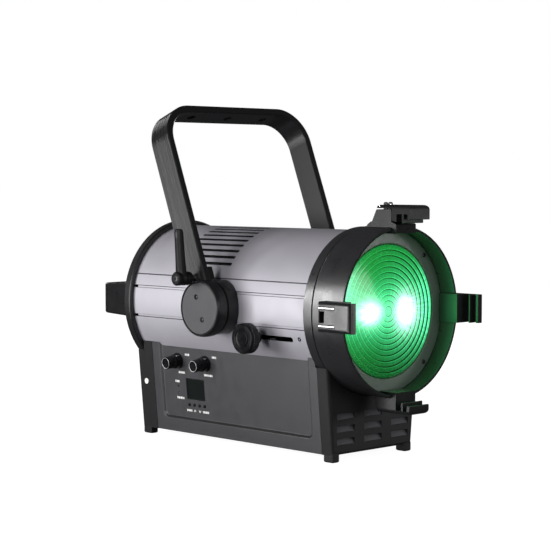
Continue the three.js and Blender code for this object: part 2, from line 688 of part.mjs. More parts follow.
const discCover = () => rodX(COVER.r, discFloor + GAP, DISC_FACE_X - COVER.sunk, 0, AXIS_Z, 32);
const washer = () => minus(
  rodX(WASHER.r1, WASHER.inner, WASHER.outer, 0, AXIS_Z, 24),
  rodX(WASHER.r0, WASHER.inner - 1, WASHER.outer + 1, 0, AXIS_Z, 24),
);

// The bar seen from the front: an upside-down U in the yoke's own plane.
function yokeOutline(inset) {
  const w = YOKE_HALF - inset;
  const h = YOKE_HEIGHT - inset;
  const r = YOKE_BEND_R - inset;
  const path = new THREE.Path();
  path.moveTo(-w, -YOKE_WIDTH / 2);
  path.lineTo(-w, h - r);
  path.absarc(-w + r, h - r, r, PI, PI / 2, true);
  path.lineTo(w - r, h);
  path.absarc(w - r, h - r, r, PI / 2, 0, true);
  path.lineTo(w, -YOKE_WIDTH / 2);
  return path.getPoints(8);
}

function yokeBar() {
  const half = YOKE_WIDTH / 2;
  const shape = new THREE.Shape([...yokeOutline(0), ...yokeOutline(YOKE_BAR).reverse()]);
  let bar = prismY(shape, -half, half);
  const wide = YOKE_HALF + 10;
  const roundEnd = rodX(half, -wide - 1, wide + 1, 0, 0, 24);
  const ends = minus(box(-wide, wide, -half - 1, half + 1, -half - 1, 0), roundEnd);
  bar = minus(bar, ends, rodX(PIVOT_R + GAP, -wide, wide, 0, 0));
  for (const x of [-YOKE_HOLE_PITCH, 0, YOKE_HOLE_PITCH]) {
    bar = minus(bar, rodZ(YOKE_HOLE_R, YOKE_HEIGHT - 20, YOKE_HEIGHT + 5, x, 0, 20));
  }
  return leant(minus(bar, rodX(STUD_R + GAP, -wide, -wide / 2, 0, LEVER_ON_ARM)));
}
add("yoke", "yoke", yokeBar());

// The arm's own room in the clamp housing that closes over its end.
function armRoom() {
  const half = YOKE_WIDTH / 2 + GAP;
  const x1 = YOKE_HALF + GAP;
  const x0 = YOKE_HALF - 18;
  return leant(union(box(x0, x1, -half, half, 0, 2 * DISC_R), rodX(half, x0, x1, 0, 0, 24)));
}
const disc = () => minus(turnedX(discProfile, 0, AXIS_Z, 36), armRoom());
for (const [side, place] of [["left", mirroredX], ["right", (m) => m]]) {
  add(`tilt_boss_${side}`, "black", place(boss()));
  add(`friction_washer_${side}`, "rubber", place(washer()));
  add(`pivot_bolt_${side}`, "steel", place(rodX(PIVOT_R, BOLT.inner, BOLT.outer, 0, AXIS_Z)));
  add(`yoke_disc_${side}`, "black", place(disc()));
  add(`disc_cover_${side}`, "panel", place(discCover()));
}

// ---------------------------------------------------------------- clamping lever
const leverY = LEVER_ON_ARM * sin(YOKE_LEAN);
const leverZ = AXIS_Z + LEVER_ON_ARM * cos(YOKE_LEAN);
const STUD = { outer: -133.6, inner: -106.6 };
const LEVER_HUB = { r: 8, footR: 7, chamfer: 1.6, waist: -133, foot: -126.3 };
const LEVER_ARM_X = -138.5;
function lever() {
  const { r, footR, chamfer, waist, foot } = LEVER_HUB;
  const hub = turnedX([
    [0, LEVER_END_X], [r - chamfer, LEVER_END_X], [r, LEVER_END_X + chamfer],
    [r, waist], [footR, foot], [0, foot],
  ], leverY, leverZ, 20);
  const sections = [[0, 5.6], [0.5, 4.6], [0.93, 4.2], [1, 2.6]]; // how far along the arm, and half its width
  const arm = sections.map(([t, wide]) => {
    const thick = wide * 0.85;
    const x = LEVER_ARM_X - 4.5 * t;
    return roundedRect(0, 0, wide * 2, thick * 2, thick * 0.6, 2).map(([a, b]) => [
      x + b, leverY + a, leverZ + LEVER_LENGTH * t,
    ]);
  });
  return minus(union(hub, loft(arm)), rodX(STUD_R + GAP, STUD.outer - 0.4, foot + 5, leverY, leverZ));
}
add("tilt_lever", "black", lever());
add("lever_stud", "steel", rodX(STUD_R, STUD.outer, STUD.inner, leverY, leverZ));
// A wedge shoe behind the arm: the stud draws it against the boss to hold the tilt.
const SHOE = { outer: -108.8, inner: -99, half: 12, low: 26, high: 46 };
function brakeShoe() {
  const { outer, inner, half, low, high } = SHOE;
  const bossRoom = rodX(BOSS_R + GAP, outer - 1, inner + 1, 0, AXIS_Z, 48);
  const studRoom = rodX(STUD_R + GAP, outer - 3, inner + 3, leverY, leverZ);
  return minus(leant(box(outer, inner, -half, half, low, high)), bossRoom, studRoom);
}
add("brake_shoe", "steel", brakeShoe());

// ---------------------------------------------------------------- focus carriage inside the barrel
const SLED = { halfWidth: 68, halfHeight: 50, thickness: 8 };
function sled() {
  const y = SLED_Y;
  let plate = box(
    -SLED.halfWidth, SLED.halfWidth, y - SLED.thickness / 2, y + SLED.thickness / 2,
    AXIS_Z - SLED.halfHeight, AXIS_Z + SLED.halfHeight,
  );
  for (const x of [-ROD.x, ROD.x]) plate = minus(plate, rodY(ROD.r + 0.4, y - 9, y + 9, x, ROD.z));
  return minus(plate, rodX(FOCUS_STEM_R + GAP, -80, -52, FOCUS.y, FOCUS.z, 16));
}
add("focus_sled", "aluminium", sled());
for (const [name, x] of [["guide_rod_left", -ROD.x], ["guide_rod_right", ROD.x]]) {
  add(name, "steel", rodY(ROD.r, -136, 148, x, ROD.z));
}
function rodBracket(y0, y1) {
  const disc = rodY(BARREL_R - BARREL_WALL - 2 * GAP, y0, y1, 0, AXIS_Z, 32);
  const window = rodY(54, y0 - 1, y1 + 1, 0, AXIS_Z, 32);
  let plate = minus(disc, window);
  for (const x of [-ROD.x, ROD.x]) plate = minus(plate, rodY(ROD.r + GAP, y0 - 1, y1 + 1, x, ROD.z));
  return plate;
}
add("rod_bracket_front", "aluminium", rodBracket(-135.5, -131.5));
add("rod_bracket_rear", "aluminium", rodBracket(143.5, 147.5));

const sledFront = SLED_Y - SLED.thickness / 2 - GAP;
const sledRear = SLED_Y + SLED.thickness / 2 + GAP;
const LED = { side: 46, thickness: 3 };
const REFLECTOR = { rear: sledFront - LED.thickness - GAP, front: sledFront - 18, r0: 15, r1: 25, wall: 1 };
add("led_module", "led", prismY(
  roundedRect(0, AXIS_Z, LED.side, LED.side, 3, 2), sledFront - LED.thickness, sledFront,
));
function reflector() {
  const { rear, front, r0, r1, wall } = REFLECTOR;
  return turnedY([[r0, rear], [r0 + wall, rear], [r1 + wall, front], [r1, front], [r0, rear]], 24);
}
add("reflector", "aluminium", reflector());

// Fins run from front to back on a plate bolted behind the sled.
const SINK = { half: 46, fins: 9, fin: 2.5, base: 8, depth: 55 };
function heatsink() {
  const { half, fins, fin, base, depth } = SINK;
  const pitch = (2 * half - fin) / (fins - 1);
  const outline = [[-half, sledRear], [half, sledRear]];
  for (let i = fins - 1; i >= 0; i--) {
    const x = -half + i * pitch;
    outline.push([x + fin, sledRear + depth], [x, sledRear + depth]);
    if (i > 0) outline.push([x, sledRear + base], [x - pitch + fin, sledRear + base]);
  }
  return prismZ(outline, AXIS_Z - half, AXIS_Z + half);
}
add("heatsink", "aluminium", heatsink());

const FAN = { front: sledRear + SINK.depth + GAP, depth: 25, half: 46, bore: 43, hubR: 18, strut: 3 };
const ROTOR = { r: 17.5, reach: 41, pitch: 38, front: FAN.front + 2, rear: FAN.front + 21, blades: 7 };
function fanFrame() {
  const { front, depth, half, bore, hubR, strut } = FAN;
  const rear = front + depth;
  const frame = box(-half, half, front, rear, AXIS_Z - half, AXIS_Z + half);
  const hub = rodY(hubR, rear - strut, rear, 0, AXIS_Z);
  const struts = [0, 60, 120].map((degrees) => {
    const bar = box(-bore - 1, bore + 1, rear - strut, rear, -2, 2);
    return bar.rotate([0, degrees, 0]).translate([0, 0, AXIS_Z]);
  });
  return union(minus(frame, rodY(bore, front - 1, rear + 1, 0, AXIS_Z, 28)), hub, ...struts);
}
add("fan_frame", "plastic", fanFrame());
function fanRotor() {
  const { r, reach, pitch, front, rear, blades } = ROTOR;
  let rotor = rodY(r, front, rear, 0, AXIS_Z);
  for (let i = 0; i < blades; i++) {
    const blade = box(r - 2.5, reach, -1, 1, -8.6, 8.6).rotate([pitch, 0, 0]);
    const placed = blade.translate([0, (front + rear) / 2, 0]).rotate([0, (i * 360) / blades, 0]);
    rotor = union(rotor, placed.translate([0, 0, AXIS_Z]));
  }
  return rotor;
}
add("fan_rotor", "plastic", fanRotor());

// The stem reaches from the sled through the barrel's slot to a collar, and its tip turns in the knob.
const knobInner = FOCUS_KNOB.face + FOCUS_KNOB.length;
const STEM = { inner: -54, collar: -91.5, collarR: 6.5, tipR: 3, tip: knobInner - 7 };
add("focus_stem", "steel", turnedX([
  [0, STEM.inner], [FOCUS_STEM_R, STEM.inner], [FOCUS_STEM_R, STEM.collar], [STEM.collarR, STEM.collar],
  [STEM.collarR, knobInner + GAP], [STEM.tipR, knobInner + GAP], [STEM.tipR, STEM.tip], [0, STEM.tip],
], FOCUS.y, FOCUS.z, 16));
function focusKnob() {
  const { r, face, recessR } = FOCUS_KNOB;
  const bore = STEM.tipR + GAP;
  return turnedX([
    [bore, knobInner], [r - 2, knobInner], [r, knobInner - 2], [r, face + 1.5], [r - 1.5, face],
    [recessR, face], [recessR - 1, face + 1.2], [0, face + 1.2],
    [0, STEM.tip - GAP], [bore, STEM.tip - GAP], [bore, knobInner],
  ], FOCUS.y, FOCUS.z);
}
add("focus_knob", "plastic", focusKnob());

// ---------------------------------------------------------------- the part's own frame
// The origin is on the floor under the middle of the whole light, which the lever moves off the middle plane.
lamp.position.x = -(LEVER_END_X + DISC_FACE_X) / 2;
const spotlight = new THREE.Group();
spotlight.add(lamp);
export default spotlight;
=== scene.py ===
"""Fresnel spotlight: the looks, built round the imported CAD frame. Shapes are made in millimetres in the
lamp's own frame (x = 0 in its middle plane, y = 0 at the tilt axis, z = 0 on the floor) and scaled to
metres at the end."""

import json
from math import asin, atan2, cos, degrees, pi, radians, sin, sqrt

import bmesh
import bpy
from mathutils import Matrix, Vector


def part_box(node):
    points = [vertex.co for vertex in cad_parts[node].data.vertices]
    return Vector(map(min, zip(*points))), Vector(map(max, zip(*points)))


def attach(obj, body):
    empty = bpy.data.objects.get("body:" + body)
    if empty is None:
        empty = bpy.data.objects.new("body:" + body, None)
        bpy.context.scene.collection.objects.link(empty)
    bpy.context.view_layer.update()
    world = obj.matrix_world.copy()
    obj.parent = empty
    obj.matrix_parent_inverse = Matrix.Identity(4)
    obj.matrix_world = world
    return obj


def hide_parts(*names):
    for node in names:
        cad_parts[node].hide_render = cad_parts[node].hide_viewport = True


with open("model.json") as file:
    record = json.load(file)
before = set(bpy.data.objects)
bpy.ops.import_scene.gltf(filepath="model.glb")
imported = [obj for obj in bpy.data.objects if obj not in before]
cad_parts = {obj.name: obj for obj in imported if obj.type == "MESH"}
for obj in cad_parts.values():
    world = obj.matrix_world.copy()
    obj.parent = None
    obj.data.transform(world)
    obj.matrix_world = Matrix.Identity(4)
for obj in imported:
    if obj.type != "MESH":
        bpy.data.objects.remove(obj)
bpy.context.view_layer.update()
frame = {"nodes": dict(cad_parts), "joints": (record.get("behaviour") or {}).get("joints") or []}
scene = bpy.context.scene

# ---- sizes read from the frame
joints = {joint["name"]: joint for joint in frame["joints"]}
MIDDLE = joints["yoke_tilt"]["pos_m"][0]
AXIS = joints["yoke_tilt"]["pos_m"][2] * 1000
TO_METRES = Matrix.Translation((MIDDLE, 0, 0)) @ Matrix.Scale(0.001, 4)
BEAM = (0, 0, AXIS)
GAP = 0.3
LEAN = 21.3


def box_of(node):
    """A CAD node's lowest and highest corner in the lamp's own millimetres."""
    low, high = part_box(node)
    back = TO_METRES.inverted()
    return back @ low, back @ high


HOOD_LOW, HOOD_HIGH = box_of("front_hood")
HOOD_R = HOOD_HIGH.x
RIM, HOOD_REAR = HOOD_LOW.y, HOOD_HIGH.y
BARREL_R = box_of("barrel")[1].z - AXIS
RING_Y = box_of("lens_retaining_ring")[0].y
CAP_LOW, CAP_HIGH = box_of("rear_cap")
DISC_LOW, DISC_HIGH = box_of("yoke_disc_right")
PANEL_LOW, PANEL_HIGH = box_of("side_panel")
BOX_BOTTOM, BOX_TOP = PANEL_LOW.z, PANEL_HIGH.z
FRONT_LOW, FRONT_HIGH = box_of("front_end_plate")
REAR_LOW, REAR_HIGH = box_of("rear_end_plate")


# ---- mesh tools
def loft(rings, cap=True, cyclic=False):
    """A skin through rings of points. A ring of one point is a pole."""
    bm = bmesh.new()
    made = [[bm.verts.new(p) for p in ring] for ring in rings]
    pairs = list(zip(made, made[1:]))
    if cyclic:
        pairs.append((made[-1], made[0]))
    for a, b in pairs:
        count = max(len(a), len(b))
        for i in range(count):
            j = (i + 1) % count
            corners = [a[i % len(a)], a[j % len(a)], b[j % len(b)], b[i % len(b)]]
            corners = list(dict.fromkeys(corners))
            if len(corners) > 2:
                bm.faces.new(corners)
    if cap and not cyclic:
        for ring in (made[0], made[-1]):
            if len(ring) > 2:
                bm.faces.new(ring)
    bmesh.ops.recalc_face_normals(bm, faces=bm.faces)
    return bm


def moved(bm, *matrices):
    for matrix in matrices:
        bmesh.ops.transform(bm, matrix=matrix, verts=bm.verts)
    return bm


def turn(axis, degree):
    return Matrix.Rotation(radians(degree), 4, axis)


def shift(x, y, z):
    return Matrix.Translation((x, y, z))


MIRROR = Matrix.Scale(-1, 4, (1, 0, 0))


def mirrored(bm):
    moved(bm, MIRROR)
    bmesh.ops.reverse_faces(bm, faces=bm.faces)
    return bm


def along(axis, at=(0, 0, 0)):
    """Takes a shape turned or run along Y to the same shape along another axis, at a place."""
    spin = {"X": turn("Z", -90), "Y": Matrix.Identity(4), "Z": turn("X", 90)}[axis]
    return Matrix.Translation(at) @ spin


def turned(profile, segments=96, axis="Y", at=(0, 0, 0)):
    """A profile of (radius, distance) turned about an axis. One that ends where it starts is a ring."""
    ring_shaped = profile[0] == profile[-1]
    circle = [(cos(2 * pi * i / segments), sin(2 * pi * i / segments)) for i in range(segments)]
    rings = []
    for r, y in profile[:-1] if ring_shaped else profile:
        rings.append([(0, y, 0)] if r < 1e-6 else [(r * c, y, r * s) for c, s in circle])
    return moved(loft(rings, cap=False, cyclic=ring_shaped), along(axis, at))


def rounded(points, radius, steps=3, closed=True):
    """An outline with its corners rounded by one radius, or by one radius for each corner."""
    out = []
    for i, point in enumerate(points):
        if not closed and i in (0, len(points) - 1):
            out.append(point)
            continue
        before, here, after = (Vector(points[k % len(points)]) for k in (i - 1, i, i + 1))
        size = radius[i] if isinstance(radius, (list, tuple)) else radius
        reach = min(size, (before - here).length * 0.48, (after - here).length * 0.48)
        if reach < 1e-4:
            out.append(point)
            continue
        start = here + (before - here).normalized() * reach
        end = here + (after - here).normalized() * reach
        for k in range(steps + 1):
            t = k / steps
            out.append(tuple(start.lerp(here, t).lerp(here.lerp(end, t), t)))
    return out


def lathe(profile, radius=0.5, segments=96, axis="Y", at=(0, 0, 0)):
    """A turned shape whose profile corners are rounded."""
    if profile[0] == profile[-1]:
        eased = rounded(profile[:-1], radius)
        return turned([*eased, eased[0]], segments, axis, at)
    return turned(rounded(profile, radius, closed=False), segments, axis, at)


def prism(outline, low, high, run="Y"):
    """An outline run along an axis: (y, z) points along X, (x, z) along Y or (x, y) along Z."""
    def place(a, b, c):
        return {"X": (c, a, b), "Y": (a, c, b), "Z": (a, b, c)}[run]

    return loft([[place(a, b, c) for a, b in outline] for c in (low, high)])


def block(x0, x1, y0, y1, z0, z1):
    return prism([(x0, y0), (x1, y0), (x1, y1), (x0, y1)], z0, z1, "Z")


def rod(radius, low, high, axis="Y", at=(0, 0, 0), segments=32, ease=0.0):
    profile = [(0, low), (radius, low), (radius, high), (0, high)]
    return lathe(profile, ease, segments, axis, at) if ease else turned(profile, segments, axis, at)


def rectangle(x, y, width, height, radius, steps=5):
    w, h = width / 2, height / 2
    corners = [(x + w, y + h), (x - w, y + h), (x - w, y - h), (x + w, y - h)]
    return rounded(corners, radius, steps)


def joined(*parts):
    """Several shapes as one, without joining their surfaces."""
    whole = bmesh.new()
    for bm in parts:
        mesh = bpy.data.meshes.new("work")
        bm.to_mesh(mesh)
        bm.free()
        whole.from_mesh(mesh)
        bpy.data.meshes.remove(mesh)
    return whole


def work_object(bm):
    mesh = bpy.data.meshes.new("work")
    bm.to_mesh(mesh)
    bm.free()
    obj = bpy.data.objects.new("work", mesh)
    scene.collection.objects.link(obj)
    return obj


def boolean(bm, *tools, operation="DIFFERENCE"):
    """Cuts, joins or intersects a shape with all the tools at once."""
    body, tool = work_object(bm), work_object(joined(*tools))
    modifier = body.modifiers.new("cut", "BOOLEAN")
    modifier.operation, modifier.solver, modifier.object = operation, "EXACT", tool
    modifier.use_self = len(tools) > 1
    result = bmesh.new()
    result.from_object(body, bpy.context.evaluated_depsgraph_get())
    for obj in (body, tool):
        mesh = obj.data
        bpy.data.objects.remove(obj)
        bpy.data.meshes.remove(mesh)
    return result


def in_turn(body, *tools, operation="DIFFERENCE"):
    """Booleans with one tool after another."""
    for tool in tools:
        body = boolean(body, tool, operation=operation)
    return body


def fused(body, *others):
    return in_turn(body, *others, operation="UNION")


def wire(points, radius, sides=10):
    """A round wire through points."""
    rings = []
    up = Vector((0.31, 0.17, 0.93))
    for i, point in enumerate(points):
        ahead = Vector(points[min(i + 1, len(points) - 1)]) - Vector(points[max(i - 1, 0)])
        side = ahead.cross(up).normalized()
        up = side.cross(ahead).normalized()
        rings.append([
            Vector(point) + radius * (cos(2 * pi * k / sides) * side + sin(2 * pi * k / sides) * up)
            for k in range(sides)
        ])
    return loft(rings)


def piece(name, bm, material, replaces=None, body="housing", slot=None, bevel=0.0, angle=32, steps=2):
    """A finished piece that rides on a body. Bevel is the width of its eased edges, in millimetres."""
    materials = material if isinstance(material, list) else [material]
    slot = slot or SLOT_OF.get(materials[0])
    mesh = bpy.data.meshes.new(name)
    bm.normal_update()
    bm.to_mesh(mesh)
    bm.free()
    mesh.transform(TO_METRES)
    obj = bpy.data.objects.new(name, mesh)
    scene.collection.objects.link(obj)
    for each in materials:
        mesh.materials.append(each)
    mesh.shade_smooth()
    mesh.set_sharp_from_angle(angle=radians(angle))
    if bevel:
        ease = obj.modifiers.new("eased edges", "BEVEL")
        ease.width, ease.segments, ease.limit_method = bevel / 1000, steps, "ANGLE"
        ease.angle_limit, ease.use_clamp_overlap = radians(angle), True
    obj.modifiers.new("even shading", "WEIGHTED_NORMAL").keep_sharp = True
    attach(obj, body)
    if replaces:
        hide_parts(replaces)
    return obj


# ---- materials
class Surface:
    """A material and the few nodes that most finishes share."""

    def __init__(self, name, **sockets):
        self.material = bpy.data.materials.new(name)
        self.material.use_nodes = True
        self.nodes = self.material.node_tree.nodes
        self.links = self.material.node_tree.links
        self.shader = self.nodes["Principled BSDF"]
        for socket, value in sockets.items():
            self.shader.inputs[socket.replace("_", " ").title().replace("Ior", "IOR")].default_value = value
        self.place = self.node("TexCoord", pick="Object")
        self.height = None

    def node(self, kind, inputs=None, pick=0, **settings):
        """Adds a node, with its inputs linked or set. Gives one of its outputs."""
        made = self.nodes.new("ShaderNode" + kind)
        for key, value in settings.items():
            setattr(made, key, value)
        for key, value in (inputs or {}).items():
            if isinstance(value, bpy.types.NodeSocket):
                self.links.new(value, made.inputs[key])
            else:
                made.inputs[key].default_value = value
        return made.outputs[pick]

    def maths(self, a, b, operation, clamp=False):
        return self.node("Math", {0: a, 1: b}, operation=operation, use_clamp=clamp)

    def sum(self, a, b):
        return self.maths(a, b, "ADD")

    def times(self, a, b):
        return self.maths(a, b, "MULTIPLY")

    def noise(self, scale, detail=2.0, stretch=(1, 1, 1), rough=0.5):
        place = self.node("Mapping", {"Vector": self.place, "Scale": stretch})
        inputs = {"Vector": place, "Scale": scale, "Detail": detail, "Roughness": rough}
        return self.node("TexNoise", inputs)

    def ramp(self, value, low, high, to_low=0.0, to_high=1.0):
        return self.node("MapRange", {0: value, 1: low, 2: high, 3: to_low, 4: to_high})

    def mix(self, factor, a, b, blend="MIX"):
        """Two colours blended. Inputs 6 and 7 and output 2 of this node are the colour ones."""
        return self.node("Mix", {0: factor, 6: a, 7: b}, pick=2, data_type="RGBA", blend_type=blend)

    def colour(self, base, mottling=0.08, scale=14.0, stretch=(1, 1, 1)):
        """A base colour that drifts a little lighter and darker."""
        dark = (*[c * (1 - mottling) for c in base], 1)
        light = (*[c * (1 + mottling) for c in base], 1)
        self.tint = self.mix(self.ramp(self.noise(scale, 3.0, stretch), 0.3, 0.7), dark, light)
        return self

    def rough(self, middle, spread=0.05, scale=30.0, stretch=(1, 1, 1)):
        noise = self.noise(scale, 3.0, stretch)
        self.roughness = self.ramp(noise, 0.3, 0.7, middle - spread, middle + spread)
        return self

    def bump(self, scale, depth, detail=2.0, stretch=(1, 1, 1)):
        """Fine relief: scale in waves per metre, depth in millimetres."""
        relief = self.times(self.noise(scale, detail, stretch), depth / 1000)
        self.height = relief if self.height is None else self.sum(self.height, relief)
        return self

    def edge_wear_and_sheen(self, bare, radius=0.5, amount=0.5, smoother=0.12):
        """Edges rubbed towards the bare metal. Laid on strongly, on the moulded plastics and the yoke bar,
        the lighter edges are also a painted highlight.
        """
        soft = self.node("Bevel", {"Radius": radius / 1000}, samples=4)
        flat = self.node("NewGeometry", pick="Normal")
        bend = self.node("VectorMath", {0: soft, 1: flat}, pick="Value", operation="DOT_PRODUCT")
        edge = self.ramp(bend, 0.985, 0.86)
        patch = self.ramp(self.noise(90.0, 4.0), 0.42, 0.62)
        mask = self.maths(self.times(edge, patch), amount, "MULTIPLY", clamp=True)
        self.tint = self.mix(mask, self.tint, (*bare, 1))
        self.roughness = self.maths(self.roughness, self.times(mask, smoother), "SUBTRACT")
        return self

    def done(self):
        if self.height is not None:
            relief = self.node("Bump", {"Height": self.height, "Distance": 1.0, "Strength": 1.0})
            self.links.new(relief, self.shader.inputs["Normal"])
        self.links.new(self.tint, self.shader.inputs["Base Color"])
        self.links.new(self.roughness, self.shader.inputs["Roughness"])
        return self.material


def anodised_barrel(name="anodised barrel", tone=(0.45, 0.436, 0.478)):
    s = Surface(name, metallic=0.35, specular_ior_level=0.4)
    s.colour(tone, 0.04, 9.0).rough(0.56, 0.05, 40.0)
    return s.bump(2600, 0.006).bump(420, 0.004, 2.0, (1, 0.02, 1)).done()


def black_casting(name="black casting", tone=0.014, rough=0.33, worn=0.35):
    s = Surface(name, specular_ior_level=0.42, coat_weight=0.12, coat_roughness=0.3)
    s.colour((tone, tone, tone * 1.08), 0.12, 18.0).rough(rough, 0.06, 60.0)
    return s.bump(1500, 0.012, 3.0).edge_wear_and_sheen((0.11, 0.11, 0.115), 0.5, worn).done()


def powder_coat(name, tone, rough=0.52, shine=0.4):
    s = Surface(name, specular_ior_level=shine)
    s.colour((tone, tone * 0.985, tone * 1.06), 0.05, 10.0).rough(rough, 0.05, 80.0)
    return s.bump(2300, 0.016, 3.0).bump(700, 0.01).edge_wear_and_sheen((0.2, 0.2, 0.21), 0.4, 0.25).done()


def extruded_bar(name, tone, rough, streaks):
    """Black anodised bar. Its streaks run along the leaning arms, so the bends take only a trace."""
    s = Surface(name, metallic=0.08, specular_ior_level=0.6)
    s.place = s.node("VectorRotate", {"Vector": s.place, "Angle": radians(LEAN)}, rotation_type="X_AXIS")
    s.colour((tone, tone, tone * 1.07), 0.6 * streaks, 260.0, (1, 1, 0.012))
    s.rough(rough, 0.08 * streaks, 240.0, (1, 1, 0.012))
    # Lighter edges: partly rubbed wear, partly a painted highlight along the bar's edges.
    return s.bump(700, 0.02 * streaks, 3.0, (1, 1, 0.01)).edge_wear_and_sheen((0.3, 0.3, 0.31), 0.45 * streaks, 0.5).done()


def moulded_plastic(name, tone=(0.011, 0.011, 0.012), rough=0.36, shine=0.1):
    s = Surface(name, specular_ior_level=shine)
    s.colour(tone, 0.1, 40.0).rough(rough, 0.06, 120.0)
    # Lighter edges: partly rubbed wear, partly a painted highlight on ridges and rims.
    return s.bump(2600, 0.01).edge_wear_and_sheen((0.12, 0.12, 0.125), 0.35, 0.6, 0.1).done()


def bare_metal(name, tone, rough, stretch=(1, 1, 1)):
    s = Surface(name, metallic=1.0)
    s.colour(tone, 0.06, 40.0).rough(rough, 0.07, 90.0, stretch)
    return s.bump(1500, 0.004, 2.0, stretch).done()


def rubber():
    s = Surface("rubber", specular_ior_level=0.35)
    s.colour((0.016, 0.016, 0.016), 0.15, 60.0).rough(0.72, 0.08, 200.0)
    return s.bump(1500, 0.02).done()


def clear_glass(name, tint, rough):
    s = Surface(name, specular_ior_level=0.6, coat_weight=0.6, coat_roughness=0.04)
    s.colour(tint, 0.1, 50.0).rough(rough, 0.02, 40.0)
    return s.bump(300, 0.002).done()


def printed_white():
    s = Surface("white print", specular_ior_level=0.3)
    return s.colour((0.82, 0.82, 0.8), 0.04, 300.0).rough(0.55, 0.05, 300.0).bump(3000, 0.003).done()


def glow(name, colour, strength):
    s = Surface(name, emission_color=(*colour, 1), emission_strength=strength)
    return s.colour(colour, 0.1, 400.0).rough(0.25, 0.05, 300.0).done()


def circuit_board():
    s = Surface("solder mask", specular_ior_level=0.5)
    s.colour((0.012, 0.10, 0.045), 0.3, 90.0).rough(0.35, 0.08, 300.0)
    lanes = s.node("TexBrick", {"Vector": s.place, "Scale": 160.0, "Mortar Size": 0.03}, pick="Fac")
    s.tint = s.mix(s.times(lanes, 0.5), s.tint, (0.05, 0.2, 0.08, 1))
    return s.bump(900, 0.02).done()


def led_array():
    green = (0.1, 1.0, 0.25, 1)
    s = Surface("led array", specular_ior_level=0.5, emission_color=green, emission_strength=0.2)
    s.colour((0.9, 0.75, 0.2), 0.1, 60.0).rough(0.3, 0.05, 200.0)
    cells = s.node("TexVoronoi", {"Vector": s.place, "Scale": 330.0, "Randomness": 0.0})
    s.tint = s.mix(s.ramp(cells, 0.25, 0.4), (0.95, 0.85, 0.35, 1), (0.5, 0.5, 0.5, 1))
    return s.done()


LENS_R = 75.8
RINGS = 12
# Bright patches on the lens: x and z of the middle, half width and half height, in millimetres.
HOT_SPOTS = ((-30.0, -1.0, 14.0, 9.5), (30.0, -1.5, 14.0, 15.0))
EDGE_GLOWS = ((-67.0, 25.0, 14.0, 27.0), (66.0, 6.0, 12.0, 38.0))


def lit_glass():
    """Stepped glass that carries the green light: dark lines at the steps and two white-hot patches."""
    s = Surface("lit fresnel glass", specular_ior_level=0.5, coat_weight=0.3, coat_roughness=0.1)
    s.colour((0.001, 0.008, 0.003), 0.2, 60.0).rough(0.2, 0.05, 90.0)
    centre = s.node("VectorMath", {0: s.place, 1: (MIDDLE, 0.0, AXIS / 1000)}, operation="SUBTRACT")
    split = s.node("SeparateXYZ", {0: centre}).node
    x, z = (s.times(split.outputs[k], 1000.0) for k in (0, 2))
    radius = s.maths(s.sum(s.times(x, x), s.times(z, z)), 0.5, "POWER")
    angle = s.maths(z, x, "ARCTAN2")

    def patch(px, pz, wide, tall, sharp):
        """A soft round patch that fades out like a bell curve."""
        dx = s.maths(s.maths(x, px, "SUBTRACT"), wide, "DIVIDE")
        dz = s.maths(s.maths(z, pz, "SUBTRACT"), tall, "DIVIDE")
        far = s.sum(s.times(dx, dx), s.times(dz, dz))
        return s.maths(2.718, s.times(far, -sharp), "POWER")

    step = s.node("Math", {0: s.maths(radius, LENS_R / RINGS, "DIVIDE")}, operation="FRACT")
    fine = s.node("Math", {0: s.maths(radius, LENS_R / RINGS / 3, "DIVIDE")}, operation="FRACT")
    groove = s.ramp(step, 0.72, 0.93, 1.0, 0.05)
    glint = s.ramp(step, 0.0, 0.22, 1.75, 1.0)
    fine_lines = s.ramp(fine, 0.5, 0.95, 1.0, 0.72)
    flank = s.times(s.times(groove, glint), fine_lines)
    polar = s.node("CombineXYZ", {0: s.times(angle, 22.0), 1: s.times(radius, 0.06)})
    rays = s.ramp(s.node("TexNoise", {"Vector": polar, "Scale": 1.0, "Detail": 4.0}), 0.3, 0.7, 0.55, 1.35)
    grain = s.ramp(s.noise(1100.0, 3.0), 0.35, 0.65, 0.7, 1.2)
    sparkle = s.times(s.ramp(s.noise(1250.0, 1.0), 0.62, 0.7), s.ramp(radius, 45.0, 72.0))
    fall = s.times(s.ramp(z, -75.0, -5.0, 0.2, 1.0), s.ramp(z, 15.0, 75.0, 1.0, 0.66))
    heat = s.sum(*(patch(*spot, 0.8) for spot in HOT_SPOTS))
    halo = s.sum(*(patch(*spot, 0.16) for spot in HOT_SPOTS))
    edges = s.sum(*(patch(*spot, 0.7) for spot in EDGE_GLOWS))
    halo = s.sum(halo, s.times(edges, 0.85))
    halo = s.times(s.times(halo, rays), flank)
    texture = s.times(s.times(flank, grain), fall)
    body = s.mix(1.0, (0.012, 0.43, 0.06, 1), texture, "MULTIPLY")
    body = s.mix(1.0, body, s.mix(1.0, (0.12, 0.75, 0.42, 1), halo, "MULTIPLY"), "ADD")
    body = s.mix(1.0, body, s.mix(1.0, (0.1, 0.26, 0.13, 1), sparkle, "MULTIPLY"), "ADD")
    hot = s.mix(1.0, (1.9, 2.9, 2.5, 1), s.times(heat, rays), "MULTIPLY")
    s.links.new(s.mix(1.0, body, hot, "ADD"), s.shader.inputs["Emission Color"])
    s.shader.inputs["Emission Strength"].default_value = 1.0
    return s.bump(900, 0.01).done()


